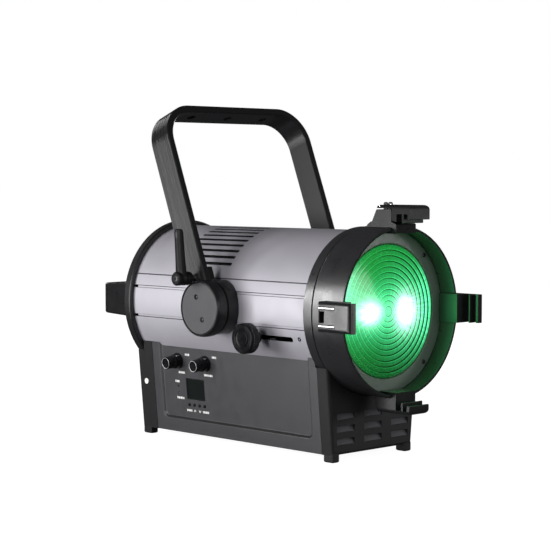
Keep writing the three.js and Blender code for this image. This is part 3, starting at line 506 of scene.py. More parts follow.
BARREL = anodised_barrel()
# A darker copy of the barrel's finish for the slanted walls of the grooves and the crease: painted shade in
# the creases.
GROOVE_PAINTED_SHADE = anodised_barrel("painted shade on the groove walls", (0.07, 0.068, 0.075))
CASTING = black_casting()
HOOD_SKIN = black_casting("hood casting", 0.018, 0.32, 0.0)
RING_SKIN = powder_coat("retaining ring finish", 0.085, 0.42, 0.4)
PANEL = powder_coat("charcoal panel", 0.052, 0.36, 0.32)
# A darker copy of the panel's coat for the dish's upward-facing bottom slope: painted shade along the sill.
SILL_PAINTED_SHADE = powder_coat("painted shade on the dish sill", 0.016, 0.42)
PLATE = powder_coat("black end plate", 0.016, 0.48, 0.16)
DISC = powder_coat("disc face", 0.052, 0.5)
# The vanes are made lighter than the plate behind them: painted light, for the light that catches their
# slant.
VANE_PAINTED_LIGHTER = powder_coat("louvre vanes painted lighter", 0.075, 0.5, 0.3)
# Two copies of the bar's black: the rest of the bar is painted darker as shade, and the outer faces of its
# arms are painted lighter as light, on top of their real drawn streaks.
BAR = extruded_bar("black anodised bar", 0.008, 0.3, 0.12)
BAR_FACE_PAINTED_LIGHTER = extruded_bar("drawn face of the bar, painted lighter", 0.02, 0.33, 1.0)
PLASTIC = moulded_plastic("black plastic")
KNURL = moulded_plastic("knurled plastic", (0.007, 0.007, 0.008), 0.2, 0.5)
KNOB_PLASTIC = moulded_plastic("knob plastic", (0.006, 0.006, 0.007), 0.24, 0.16)
BLUE_PLASTIC = moulded_plastic("blue plastic", (0.02, 0.08, 0.33))
GREY_PLASTIC = moulded_plastic("grey plastic", (0.32, 0.32, 0.31))
STEEL = bare_metal("polished steel", (0.72, 0.72, 0.73), 0.2)
SATIN_STEEL = bare_metal("satin steel", (0.85, 0.85, 0.86), 0.38)
DARK_STEEL = bare_metal("blackened steel", (0.05, 0.05, 0.052), 0.35)
ALUMINIUM = bare_metal("milled aluminium", (0.66, 0.66, 0.67), 0.38, (1, 0.05, 1))
RUBBER = rubber()
SCREEN = clear_glass("display glass", (0.006, 0.009, 0.008), 0.16)
PRINT = printed_white()
LENS = lit_glass()
FROSTED = clear_glass("frosted lens back", (0.02, 0.05, 0.03), 0.5)
BOARD = circuit_board()
LEDS = led_array()
AMBER = glow("amber indicator", (0.03, 0.02, 0.015), 0.0)

# The slot that each finish fills.
SLOTS = {
    "anodised_barrel": (BARREL,),
    "black_casting": (CASTING, HOOD_SKIN, RING_SKIN, PLATE),
    "charcoal_panel": (PANEL, VANE_PAINTED_LIGHTER),
    "disc_face": (DISC,),
    "black_yoke": (BAR,),
    "black_plastic": (PLASTIC, KNURL, KNOB_PLASTIC, GREY_PLASTIC),
    "blue_plastic": (BLUE_PLASTIC,),
    "steel": (STEEL, SATIN_STEEL, DARK_STEEL),
    "bare_aluminium": (ALUMINIUM,),
    "lens_glass": (LENS,),
    "display_glass": (SCREEN,),
    "indicator": (AMBER,),
}
SLOT_OF = {material: slot for slot, materials in SLOTS.items() for material in materials}


# ---- barrel
# Air slots over the top: their ends and width in millimetres, the first angle and the step in degrees.
VENTS = {"front": -3.5, "rear": 84.0, "width": 3.9, "first": 33, "step": 6, "count": 20}
BARREL_WALL = 2.5
BAND, GROOVE, GROOVE_DEPTH = 16.0, 3.4, 1.3
CREASE, CREASE_WIDTH = 32.0, 1.4
BARREL_SCREW = (-85.0, -124.5, AXIS - 29.6)
FOCUS_Y, FOCUS_Z = -64.0, AXIS - 31
FOCUS = (0, FOCUS_Y, FOCUS_Z)
FOCUS_SLOT = (-113.8, -38.2, 5.6)  # front end, rear end and width


def barrel_outline():
    """The extruded skin: two grooves beside a plain band on each side, with a fine crease above them."""
    dips = [(BAND, GROOVE, GROOVE_DEPTH), (-BAND - GROOVE, GROOVE, GROOVE_DEPTH), (CREASE, CREASE_WIDTH, 0.6)]
    half = []
    for degree in range(-90, 91, 3):
        z = BARREL_R * sin(radians(degree))
        if not any(low - 0.4 < z < low + width + 0.4 for low, width, depth in dips):
            half.append((radians(degree), BARREL_R))
    for low, width, depth in dips:
        for z, sunk in ((low, 0), (low + 0.65, depth), (low + width - 0.65, depth), (low + width, 0)):
            half.append((asin(z / BARREL_R), BARREL_R - sunk))
    half.sort()
    right = [(r * cos(a), AXIS + r * sin(a)) for a, r in half]
    return right + [(-x, z) for x, z in reversed(right[1:-1])]


def slot_cutter(y0, y1, width, x0, x1):
    """A slot with round ends that runs along the barrel."""
    return prism(rectangle((y0 + y1) / 2, 0, y1 - y0, width, width / 2), x0, x1, "X")


def barrel():
    low, high = box_of("barrel")
    skin = prism(barrel_outline(), low.y, high.y, "Y")
    tools = [rod(BARREL_R - BARREL_WALL, low.y - 1, high.y + 1, "Y", BEAM, 128)]
    for i in range(VENTS["count"]):
        cutter = slot_cutter(VENTS["front"], VENTS["rear"], VENTS["width"], BARREL_R - 8, BARREL_R + 5)
        angle = VENTS["first"] + i * VENTS["step"]
        tools.append(moved(cutter, turn("Y", -angle), shift(0, 0, AXIS)))
    tools.append(moved(slot_cutter(*FOCUS_SLOT, -98, -70), shift(0, 0, FOCUS_Z)))
    for side in (-1, 1):
        for z in (BAND, -BAND - GROOVE):
            notch = block(side * 84, side * 94, CAP_LOW.y - 5, CAP_LOW.y + 2, AXIS + z, AXIS + z + GROOVE)
            tools.append(notch)
    skin = boolean(skin, *tools)
    for face in skin.faces:
        x, y, z = face.calc_center_median()
        out = Vector((x, 0, z - AXIS))
        in_groove = BAND < abs(z - AXIS) < BAND + GROOVE or CREASE < z - AXIS < CREASE + CREASE_WIDTH
        slanted = abs(face.normal.dot(out.normalized())) < 0.93 and abs(face.normal.y) < 0.1
        inside = out.length < BARREL_R - 0.6 and not in_groove
        # The slanted walls of the grooves and the crease take the darker copy: painted shade.
        face.material_index = 1 if inside else 2 if in_groove and slanted else 0
    return skin


piece("barrel_skin", barrel(), [BARREL, CASTING, GROOVE_PAINTED_SHADE], "barrel", bevel=0.2)


def heat_baffle():
    """A curved black sheet close under the vents, put there as painted shade so that the slots look dark
    inside. Air passes round its edges, and light doesn't pass through.
    """
    radius, sheet, low_edge = BARREL_R - 6, 0.8, BARREL_R * sin(radians(VENTS["first"] - 9))
    y0, y1 = VENTS["front"] - 5, VENTS["rear"] + 5
    tools = [rod(radius - sheet, y0 - 1, y1 + 1, "Y", BEAM, 96)]
    tools.append(block(-BARREL_R, BARREL_R, y0 - 1, y1 + 1, AXIS - BARREL_R, AXIS + low_edge))
    return boolean(rod(radius, y0, y1, "Y", BEAM, 96), *tools)


# The black sheet under the vents: painted shade.
piece("heat_baffle", heat_baffle(), CASTING, bevel=0.2)


def screw_head(radius, height, socket="cross"):
    """A screw head that faces -Y, with its seat at y = 0."""
    profile = [(0, 0.4), (radius, 0.4), (radius, -height * 0.45), (radius * 0.72, -height), (0, -height)]
    head = lathe(profile, radius * 0.22, 28)
    if socket == "cross":
        wide, thin = radius * 0.55, radius * 0.13
        return in_turn(head, *[block(-x, x, -height - 1, -height * 0.35, -z, z)
                               for x, z in ((wide, thin), (thin, wide))])
    hexagon = [(radius * 0.5 * cos(pi * k / 3), radius * 0.5 * sin(pi * k / 3)) for k in range(6)]
    return boolean(head, prism(hexagon, -height - 1, -height * 0.2, "Y"))


def screws(places, radius, height, socket="cross", face=None):
    """Heads of one size. Face turns them from -Y to the side that they are driven from."""
    model = screw_head(radius, height, socket)
    copies = [moved(model.copy(), face or Matrix.Identity(4), shift(*place)) for place in places]
    model.free()
    return joined(*copies)


piece("barrel_screw",
      screws([BARREL_SCREW], 2.7, 1.1, "hex", turn("Y", -20) @ turn("Z", -90)), PLATE)

# ---- hood, retaining ring and lens
HOOD_WALL = 3.2


def hood():
    lip, step = HOOD_R - 1.4, HOOD_REAR - 13.6
    groove, bore, inner, web = lip - 1.8, BARREL_R + GAP, HOOD_R - HOOD_WALL, RIM + 30
    return lathe([
        (bore, HOOD_REAR), (lip, HOOD_REAR), (lip, step + 0.9), (groove, step + 0.7), (groove, step - 0.7),
        (lip + 0.2, step - 1.0), (HOOD_R, step - 2.0), (HOOD_R, RIM), (inner, RIM), (inner, web),
        (LENS_R - 1, web), (LENS_R - 1, web + 4), (bore, web + 4), (bore, HOOD_REAR),
    ], 0.6, 180, at=BEAM)


def retaining_ring():
    outer, back = HOOD_R - HOOD_WALL - GAP, RING_Y + 2
    return lathe([
        (LENS_R, back), (LENS_R, RING_Y + 0.9), (LENS_R + 1.2, RING_Y), (outer - 0.6, RING_Y),
        (outer, RING_Y + 0.6), (outer, back), (LENS_R, back),
    ], 0.3, 160, at=BEAM)


def around_beam(radius, angles, y):
    return [(radius * cos(radians(a)), y, AXIS + radius * sin(radians(a))) for a in angles]


def lens():
    low, high = box_of("fresnel_lens")
    pitch = LENS_R / RINGS
    crest = low.y + 0.2
    points = [(0, high.y), (high.x, high.y), (high.x, crest + 3.2), (LENS_R - 0.2, crest + 3.2)]
    for i in range(RINGS, 1, -1):
        fall = 0.9 + 1.6 * i / RINGS
        points += [(i * pitch - 0.25, crest + fall), (i * pitch - pitch * 0.5, crest + fall * 0.42),
                   ((i - 1) * pitch + 0.1, crest)]
    points += [(pitch * 0.95, crest + 0.7), (pitch * 0.6, crest + 0.3)]
    points += [(pitch * 0.3, crest + 0.07), (0, crest)]
    glass = turned(points, 144, at=BEAM)
    for face in glass.faces:
        face.material_index = 1 if face.calc_center_median().y > crest + 3 else 0
    return glass


piece("hood_shell", hood(), HOOD_SKIN, "front_hood", angle=28)
piece("lens_ring", retaining_ring(), RING_SKIN, "lens_retaining_ring")
piece("lens_ring_screws", screws(around_beam(86.5, (45, 135, 225, 315), RING_Y), 2.6, 1.1), DARK_STEEL)
piece("fresnel_glass", lens(), [LENS, FROSTED], "fresnel_lens", angle=24)

# ---- accessory ears and the top latch
EAR_WIDTH, EAR_FILLET = 33.0, 5.5
EAR_R = box_of("ear_right")[1].x
EAR_FRONT = HOOD_LOW.y - 26
CHANNEL_1, CHANNEL_2 = (-14.2, -6.2), (-22.4, -16.6)
PAD_R, PAD_LENGTH = 88.0, 20.5


def ear_block(outline, radii, outer):
    """An ear on top of the rim. Its outline is of (distance behind the rim, distance from the beam)."""
    half, behind = EAR_WIDTH / 2, RIM + 60
    body = prism(rounded([(RIM + y, AXIS + r) for y, r in outline], radii, 3), -half, half, "X")
    height = outer - PAD_R + 20
    front_view = rectangle(0, AXIS + outer - height / 2, EAR_WIDTH + 0.02, height, EAR_FILLET, 8)
    body = boolean(body, prism(front_view, EAR_FRONT - 5, behind), operation="INTERSECT")
    inner, skin, rim = HOOD_R - HOOD_WALL - GAP, HOOD_R + GAP, RIM - GAP
    wall = [(inner, rim), (skin, rim), (skin, behind), (inner, behind), (inner, rim)]
    return boolean(body, turned(wall, 160, at=BEAM))


PIN_X, PIN_R, PIN_FRONT, PIN_SUNK = 9.8, 1.9, -3.2, 1.7
SEAT_WIDTH, SEAT_RUN = 5.2, 60.0
POCKET = 12.0


def channels(front, between, behind, floor):
    """Two slots that open towards the beam, for the edges of a barn door and a colour frame."""
    (a, b), (c, d) = CHANNEL_2, CHANNEL_1
    outer = [(a, front), (a, floor), (b, floor), (b, between)]
    return outer + [(c, between), (c, floor), (d, floor), (d, behind)]


def ear():
    outline = [
        (26, HOOD_R - 3), (26, 98), (22, 110), (20, EAR_R), (-23, EAR_R), (-26, EAR_R - 3), (-26, 101.5),
        *channels(101.5, 98.5, PAD_R, EAR_R - 4), (PAD_LENGTH, PAD_R), (PAD_LENGTH, HOOD_R - 3),
    ]
    radii = [0.5, 1, 2, 1.5, 2, 2, 1.2, 1.2, 0.5, 0.5, 1.2, 1.2, 0.5, 0.5, 0.8, 0.8, 0.4]
    body = ear_block(outline, radii, EAR_R)
    notch = block(-6.4, 6.4, RIM + 11.6, RIM + 18.6, AXIS + EAR_R - POCKET, AXIS + EAR_R + 1)
    seats = []
    for side in (-1, 1):
        outline = rectangle(side * PIN_X, SEAT_RUN / 2, SEAT_WIDTH, SEAT_RUN, SEAT_WIDTH / 2)
        seat = prism(outline, EAR_R - PIN_SUNK, EAR_R + 1, "Z")
        seats.append(moved(seat, shift(0, RIM + PIN_FRONT - 0.8, AXIS)))
    return in_turn(body, notch, *seats)


def ear_pins():
    """Two polished pins that lie side by side in the ear's outer face."""
    height = AXIS + EAR_R - PIN_SUNK
    return joined(*[rod(PIN_R, RIM + PIN_FRONT, RIM + 20.6, "Y", (side * PIN_X, 0, height), 24, 0.9)
                    for side in (-1, 1)])


def at_angle(bm, degree):
    return moved(bm, shift(0, 0, -AXIS), turn("Y", degree), shift(0, 0, AXIS))


for name, degree in (("left", -90), ("right", 90), ("bottom", 180)):
    piece(f"{name}_ear", at_angle(ear(), degree), CASTING, f"ear_{name}", bevel=0.6)
    piece(f"{name}_ear_pins", at_angle(ear_pins(), degree), SATIN_STEEL)
    seat = screws([(0, RIM + 15.1, AXIS + EAR_R - POCKET + 0.1)], 2.5, 1.4, "cross", turn("X", -90))
    piece(f"{name}_ear_screw", at_angle(seat, degree), DARK_STEEL)

LATCH_PIN_Y, LATCH_PIN_Z = RIM + 21.2, AXIS + 117.8
LATCH_PIN = (0, LATCH_PIN_Y, LATCH_PIN_Z)
LATCH_UNDER, LATCH_TOP = 115.9, 119.6
LUG_INNER, LUG_OUTER, LATCH_BORE = 3.0, 4.7, 1.5


def top_ear():
    shelf = LATCH_UNDER - 1.3
    outline = [
        (38, HOOD_R - 3), (38, 97), (32, 101), (30.3, 101), (23.6, shelf), (1.5, shelf), (1.5, 101),
        (-5.8, 98.2), (-5.8, PAD_R), (PAD_LENGTH, PAD_R), (PAD_LENGTH, HOOD_R - 3),
    ]
    body = ear_block(outline, [0.4, 1.5, 1.5, 0.5, 1.2, 0.8, 0.4, 0.8, 0.8, 0.8, 0.4], LATCH_TOP)
    knuckle = rectangle(LATCH_PIN_Y - 0.4, AXIS + 117.3, 5.6, 10.6, 2.6)
    body = fused(body, *[prism(knuckle, side * LUG_INNER, side * LUG_OUTER, "X") for side in (-1, 1)])
    return boolean(body, rod(LATCH_BORE, -10, 10, "X", LATCH_PIN, 20))


def top_latch():
    outline = [
        (23.2, LATCH_UNDER), (23.2, LATCH_TOP), (-23, LATCH_TOP), (-26, LATCH_TOP - 3), (-26, 103.5),
        *channels(103.5, 99.5, 100.8, 109.6), (0.9, 102.2), (0.9, LATCH_UNDER),
    ]
    radii = [1, 1.6, 2.5, 2.5, 1.2, 1.2, 0.5, 0.5, 1.2, 1.2, 0.5, 0.5, 0.8, 0.5, 0.5]
    body = ear_block(outline, radii, LATCH_TOP)
    half = LUG_OUTER + 0.5
    window = block(-half, half, LATCH_PIN_Y - 6.4, RIM + 25, AXIS + 110, AXIS + 125)
    return in_turn(body, window, rod(LATCH_BORE, -20, 20, "X", LATCH_PIN, 20))


def torsion_spring():
    """A coil round the latch's pin. One end presses on the latch and the other on the ear."""
    coil = 2.1
    turns, count = 4.25, 100
    path = [(-2.3, LATCH_PIN_Y - 7.5, LATCH_PIN_Z + coil + 0.1)]
    for i in range(count + 1):
        a = pi / 2 + 2 * pi * turns * i / count
        path.append((-2.3 + 4.6 * i / count, LATCH_PIN_Y + coil * cos(a), LATCH_PIN_Z + coil * sin(a)))
    return wire(path, 0.5, 10)


piece("top_ear_base", top_ear(), CASTING, "ear_top", bevel=0.5)
piece("latch_plate", top_latch(), PLATE, "top_latch", body="latch", bevel=0.6)
piece("latch_coil", torsion_spring(), STEEL, "latch_spring")

# ---- rear cap and grab handle
GRILLE_ROWS, GRILLE_PITCH, GRILLE_GAP, GRILLE_REACH, GRILLE_SPOKE = 3, 16.0, 7.0, 64.0, 6.0


def rear_cap():
    outer, front, rear = CAP_HIGH.x, CAP_LOW.y, CAP_HIGH.y
    bore = BARREL_R + GAP
    body = lathe([
        (bore, front), (outer - 1.5, front), (outer, front + 1.5), (outer, rear - 2.2),
        (outer - 2.2, rear), (84, rear), (82.5, rear - 0.9), (0, rear - 0.9), (0, rear - 3.6),
        (bore, rear - 3.6), (bore, front),
    ], 0.5, 160, at=BEAM)
    for row in range(-GRILLE_ROWS, GRILLE_ROWS + 1):
        z, half = AXIS + row * GRILLE_PITCH, sqrt(GRILLE_REACH ** 2 - (row * GRILLE_PITCH) ** 2)
        x, wide = (half + GRILLE_SPOKE / 2) / 2, half - GRILLE_SPOKE / 2
        slots = [rectangle(side * x, z, wide, GRILLE_GAP, 3) for side in (-1, 1)]
        body = boolean(body, *[prism(slot, rear - 6, rear + 2) for slot in slots])
    return body


def rear_handle():
    low, high = box_of("rear_handle")
    half, rear, front, bar, bend = high.x, high.y, low.y, 9.0, 16.0
    root, end = (high.z - low.z) / 2, 18.5
    outer = [(-half, front), (-half, rear), (half, rear), (half, front)]
    inner = [(half - bar, front), (half - bar, rear - bar), (-half + bar, rear - bar), (-half + bar, front)]
    outline = rounded(outer, [0, bend, bend, 0], 8) + rounded(inner, [0, bend - 6, bend - 6, 0], 8)
    strap = prism(outline, AXIS - root, AXIS + root, "Z")
    side = [(front - 1, -root), (rear + 1, -end), (rear + 1, end), (front - 1, root)]
    wedge = prism([(y, AXIS + z) for y, z in side], -half - 1, half + 1, "X")
    return boolean(strap, wedge, operation="INTERSECT")


piece("rear_cap_shell", rear_cap(), CASTING, "rear_cap", bevel=0.4)
piece("rear_cap_screws",
      screws(around_beam(88.5, (40, 140, 220, 320), CAP_HIGH.y - 0.1), 2.8, 1.2, "cross", turn("Z", 180)),
      DARK_STEEL)
piece("grab_handle", rear_handle(), CASTING, "rear_handle", bevel=2.4, steps=4)

# ---- driver housing
FOOT_HEIGHT, FOOT_X, FOOT_WIDTH = 8.0, 60.1, 11.0
PLATE_WALL = 3.0
HALF_AT_BOTTOM, HALF_AT_TOP = 66.0, 76.0
SLOPE = (HALF_AT_TOP - HALF_AT_BOTTOM) / (BOX_TOP - BOX_BOTTOM)
CONNECTORS = {"power_inlet": -45.0, "power_outlet": -15.0, "dmx_input": 15.0, "dmx_output": 45.0}
CONNECTOR_Z, FLANGE, PIN_CIRCLE = 40.0, 2.3, 4.2


def half_at(z):
    """Half the housing's width at a height."""
    return HALF_AT_BOTTOM + SLOPE * (z - BOX_BOTTOM)


def housing_outline(inset, z0=None, z1=None):
    z0 = BOX_BOTTOM + inset if z0 is None else z0
    z1 = BOX_TOP if z1 is None else z1
    low, high = half_at(z0) - inset, half_at(z1) - inset
    return [(-low, z0), (low, z0), (high, z1), (-high, z1)]


def soft_block(y0, y1, radius, front=True):
    """The housing's section run along Y, with the edges round one end eased by a wide radius."""
    rings, steps = [], 5
    for k in range(steps + 1):
        angle = pi / 2 * k / steps
        inset, back = radius * (1 - sin(angle)), radius * (1 - cos(angle))
        y = y0 + back if front else y1 - back
        rings.append([(x, y, z) for x, z in housing_outline(inset)])
    rings.append([(x, y1 if front else y0, z) for x, z in housing_outline(0)])
    return loft(rings)


def foot(x, y0, y1):
    """A foot with its sole's edges eased."""
    rings = []
    for z, inset in ((0, 1.4), (0.5, 0.5), (1.4, 0), (FOOT_HEIGHT + 2, 0)):
        width, length = FOOT_WIDTH - 2 * inset, y1 - y0 - 2 * inset
        rings.append([(x, y, z) for x, y in rectangle(x, (y0 + y1) / 2, width, length, 1.6, 3)])
    return loft(rings)


def room(radius, y0, y1):
    """The space that the round body needs, to cut out of what stands under it."""
    return rod(radius, y0, y1, "Y", BEAM, 160)


LOUVRE_W, LOUVRE_H = 29.0, 7.4
LOUVRES = [(x, z) for x in (-44.7, 0, 44.7) for z in (51.0, 36.8, 22.5)]


def end_plate(low, high, radius, front, openings, *rooms):
    """An end of the driver housing: a hollow box on two feet, open towards the middle of the lamp."""
    y0, y1 = low.y, high.y
    hollow = (y0 + PLATE_WALL, y1 + 1) if front else (y0 - 1, y1 - PLATE_WALL)
    feet = (y0 + 0.3, y0 + 15) if front else (y1 - 15, y1 - 0.3)
    inside = housing_outline(PLATE_WALL, BOX_BOTTOM + PLATE_WALL, BOX_TOP + 2)
    body = boolean(soft_block(y0, y1, radius, front), prism(inside, *hollow))
    body = fused(body, *[foot(side * FOOT_X, *feet) for side in (-1, 1)])
    return in_turn(boolean(body, *openings), *rooms)


def front_plate():
    y0, y1 = FRONT_LOW.y, FRONT_HIGH.y
    outlines = [rectangle(x, z, LOUVRE_W, LOUVRE_H, 0.8, 2) for x, z in LOUVRES]
    slots = [prism(outline, y0 - 1, y0 + PLATE_WALL + 1) for outline in outlines]
    return end_plate(FRONT_LOW, FRONT_HIGH, 4.0, True, slots, room(HOOD_R + 0.6, y0 - 1, y1 + 1))


def louvre_vanes():
    """A slanted vane behind each slot keeps fingers out and turns the air downwards."""
    vanes = []
    for x, z in LOUVRES:
        low, high, half = z - LOUVRE_H / 2 + 0.5, z + LOUVRE_H / 2 - 0.4, LOUVRE_W / 2 + 1.5
        section = [(0.9, low), (2.0, low - 0.9), (6.0, high - 0.8), (5.0, high)]
        vanes.append(prism([(FRONT_LOW.y + depth, s) for depth, s in section], x - half, x + half, "X"))
    return joined(*vanes)


def rear_plate():
    y0, y1 = REAR_LOW.y, REAR_HIGH.y
    holes = [rod(12.1, y1 - 5, y1 + 1, "Y", (x, 0, CONNECTOR_Z), 48) for x in CONNECTORS.values()]
    return end_plate(REAR_LOW, REAR_HIGH, 2.5, False, holes, room(BARREL_R + 0.6, y0 - 1, CAP_LOW.y - 0.6),
                     room(CAP_HIGH.x + 0.6, CAP_LOW.y - 0.7, y1 + 1))


piece("front_plate_shell", front_plate(), PLATE, "front_end_plate", bevel=0.35)
# The vanes take the lighter coat: painted light.
piece("front_louvres", louvre_vanes(), VANE_PAINTED_LIGHTER, bevel=0.2)
piece("rear_plate_shell", rear_plate(), PLATE, "rear_end_plate", bevel=0.4)
STICKER_Y, STICKER_Z = 157, 66
sticker = lathe([(0, 0), (3.6, 0), (3.6, 0.25), (3.4, 0.3), (0, 0.3)], 0.05, 48)
sticker_place = shift(-half_at(STICKER_Z) - 0.05, STICKER_Y, STICKER_Z)
piece("inspection_sticker", moved(sticker, turn("Z", 90), sticker_place), PRINT)

# ---- dished side panels
PANEL_LEAN = degrees(atan2(SLOPE, 1))
DISH_HALF, DISH_FLOOR, DISH_DEPTH, DISH_SLOPE = 128.5, 24.0, 2.4, 3.6
PANEL_Y = (PANEL_LOW.y, PANEL_HIGH.y)
PANEL_THICK = 4.2
PANEL_ROOT = -half_at(0)
KNOBS = {"mode_knob": ("mode_encoder", 97.5), "dimmer_knob": ("dimmer_encoder", 48.0)}
KNOB_S = 95.9
DISPLAY = (69.0, 62.7, 33.0, 26.0)
BUTTONS = {"menu": 81.65, "up": 72.55, "down": 63.45, "enter": 54.35}
BUTTON_S = 43.2
STATUS = {"signal_led": (100.0, 65.0), "power_led": (100.0, 56.3)}
PANEL_FACE = DISH_DEPTH
KNOB_BASE, KNOB_TOP, KNOB_FLUTES = PANEL_FACE - 0.5, PANEL_FACE - 20.0, 24


def on_panel(bm):
    """Leans a shape with the control panel: x runs in from the panel's face, z runs up along it."""
    return moved(bm, turn("Y", -PANEL_LEAN), shift(PANEL_ROOT, 0, 0))


def panel(holes=()):
    """A pressed panel: a flat rim round a dish, whose slope is steep in the middle and eased at its ends."""
    low, top = 8.05, BOX_TOP + 22
    middle, length = (PANEL_Y[0] + PANEL_Y[1]) / 2, PANEL_Y[1] - PANEL_Y[0]
    rings, steps = [], 8
    for x, inset in ((PANEL_THICK, 0.2), (0.7, 0), (0.2, 0.2), (0, 0.7)):
        outline = rectangle(middle, (low + top) / 2, length - 2 * inset, top - low - 2 * inset, 1.2, 6)
        rings.append([(x, y, s) for y, s in outline])
    for k in range(steps + 1):
        t = k / steps
        inset = DISH_SLOPE * t
        steep = min(max((t - 0.06) / 0.88, 0), 1)
        x = DISH_DEPTH * (0.55 * steep + 0.45 * (3 * steep ** 2 - 2 * steep ** 3))
        half, s0, s1 = DISH_HALF - inset, DISH_FLOOR + inset, top + 14
        outline = rectangle(0, (s0 + s1) / 2, 2 * half, s1 - s0, 9 - 4 * t, 6)
        rings.append([(x, y, min(s, top - 1)) for y, s in outline])
    body = on_panel(loft(rings))
    if holes:
        body = boolean(body, *[on_panel(hole) for hole in holes])
    above = block(-140, 0, -200, 200, BOX_TOP, BOX_TOP + 60)
    body = in_turn(body, above, room(BARREL_R + 0.6, PANEL_Y[0] - 1, PANEL_Y[1] + 1),
                   room(HOOD_R + 0.6, PANEL_Y[0] - 1, HOOD_REAR + GAP))
    # Upward-facing faces on the dish's bottom slope take the darker copy: painted shade.
    for face in body.faces:
        z = face.calc_center_median().z
        on_sill = DISH_FLOOR - 1 < z < DISH_FLOOR + DISH_SLOPE + 1 and face.normal.z > 0.42
        face.material_index = 1 if on_sill else 0
    return body


def panel_holes():
    y, s, width, height = DISPLAY
    holes = [prism(rectangle(y, s, width, height, 0.8, 2), -5, 15, "X")]
    holes += [rod(3.3, -5, 15, "X", (0, ky, KNOB_S), 24) for _, ky in KNOBS.values()]
    holes += [rod(2.2, -5, 15, "X", (0, by, BUTTON_S), 24) for by in BUTTONS.values()]
    holes += [rod(1.7, -5, 15, "X", (0, ly, ls), 24) for ly, ls in STATUS.values()]
    return holes


piece("control_panel_skin", panel(panel_holes()), [PANEL, SILL_PAINTED_SHADE], "control_panel", bevel=0.2, angle=40)
piece("side_panel_skin", mirrored(panel()), [PANEL, SILL_PAINTED_SHADE], "side_panel", bevel=0.2, angle=40)


# ---- controls
def display_sheet(less, corner, x0, x1):
    """A sheet in the display's window: how much smaller it is, its corners, and its front and back."""
    y, s, width, height = DISPLAY
    outline = rectangle(y, s, width - less, height - less, corner, 3)
    return prism(outline, PANEL_FACE + x0, PANEL_FACE + x1, "X")


def display_frame():
    """The module's black frame round the glass."""
    return on_panel(boolean(display_sheet(0.2, 0.8, 0.2, 2.6), display_sheet(2.6, 0.5, -1, 5)))


piece("display_glass", on_panel(display_sheet(0.8, 0.6, 0.9, 2)), SCREEN, "display_window", bevel=0.15)
piece("display_frame", display_frame(), PLASTIC, bevel=0.15)


def knob_body(y):
    base, top = KNOB_BASE, KNOB_TOP
    body = lathe([
        (0, base), (9.7, base), (9.7, base - 1.4), (9.2, base - 2.0), (8.6, base - 6.4), (7.5, base - 8.2),
        (7.3, top + 1), (6.6, top), (6.0, top), (5.7, top + 0.5), (0, top + 0.5),
    ], 0.35, 64, "X", (0, y, KNOB_S))
    flutes = []
    for k in range(KNOB_FLUTES):
        flute = rod(0.7, top - 1, base - 8.6, "X", (0, 7.6, 0), 10)
        flutes.append(moved(flute, turn("X", 360 / KNOB_FLUTES * k), shift(0, y, KNOB_S)))
    return on_panel(boolean(body, *flutes))


def knob_trim(y):
    """The bright ring on the knob's face and the pointer on its skirt."""
    inner, outer, back, front = 6.05, 6.6, KNOB_TOP + 0.3, KNOB_TOP - 0.05
    profile = [(inner, back), (outer, back), (outer, front), (inner, front), (inner, back)]
    ring = lathe(profile, 0.1, 64, "X", (0, y, KNOB_S))
    pointer = block(KNOB_BASE - 6.2, KNOB_BASE - 1.8, y - 0.5, y + 0.5, KNOB_S + 8.4, KNOB_S + 9.4)
    pointer = moved(pointer, shift(0, -y, -KNOB_S), turn("X", 38), shift(0, y, KNOB_S))
    return on_panel(joined(ring, pointer))


for name, (body_name, knob_y) in KNOBS.items():
    piece(f"{name}_cap", knob_body(knob_y), KNOB_PLASTIC, name, body=body_name)
    piece(f"{name}_trim", knob_trim(knob_y), ALUMINIUM, body=body_name)
for name, button_y in BUTTONS.items():
    face = PANEL_FACE - 0.8
    profile = [(0, 10.8), (1.9, 10.8), (1.9, face), (1.6, PANEL_FACE - 1.0), (0, face)]
    cap = lathe(profile, 0.25, 32, "X", (0, button_y, BUTTON_S))
    piece(f"{name}_button_cap", on_panel(cap), KNOB_PLASTIC, f"{name}_button", body=f"{name}_key")
for name, (led_y, led_s) in STATUS.items():
    face = PANEL_FACE
    profile = [(0, 11.8), (1.4, 11.8), (1.4, face + 0.1), (0.9, face - 0.3), (0, face - 0.4)]
    pipe = lathe(profile, 0.2, 32, "X", (0, led_y, led_s))
    piece(f"{name}_lens", on_panel(pipe), AMBER if name == "signal_led" else SCREEN, name,
          slot="indicator")


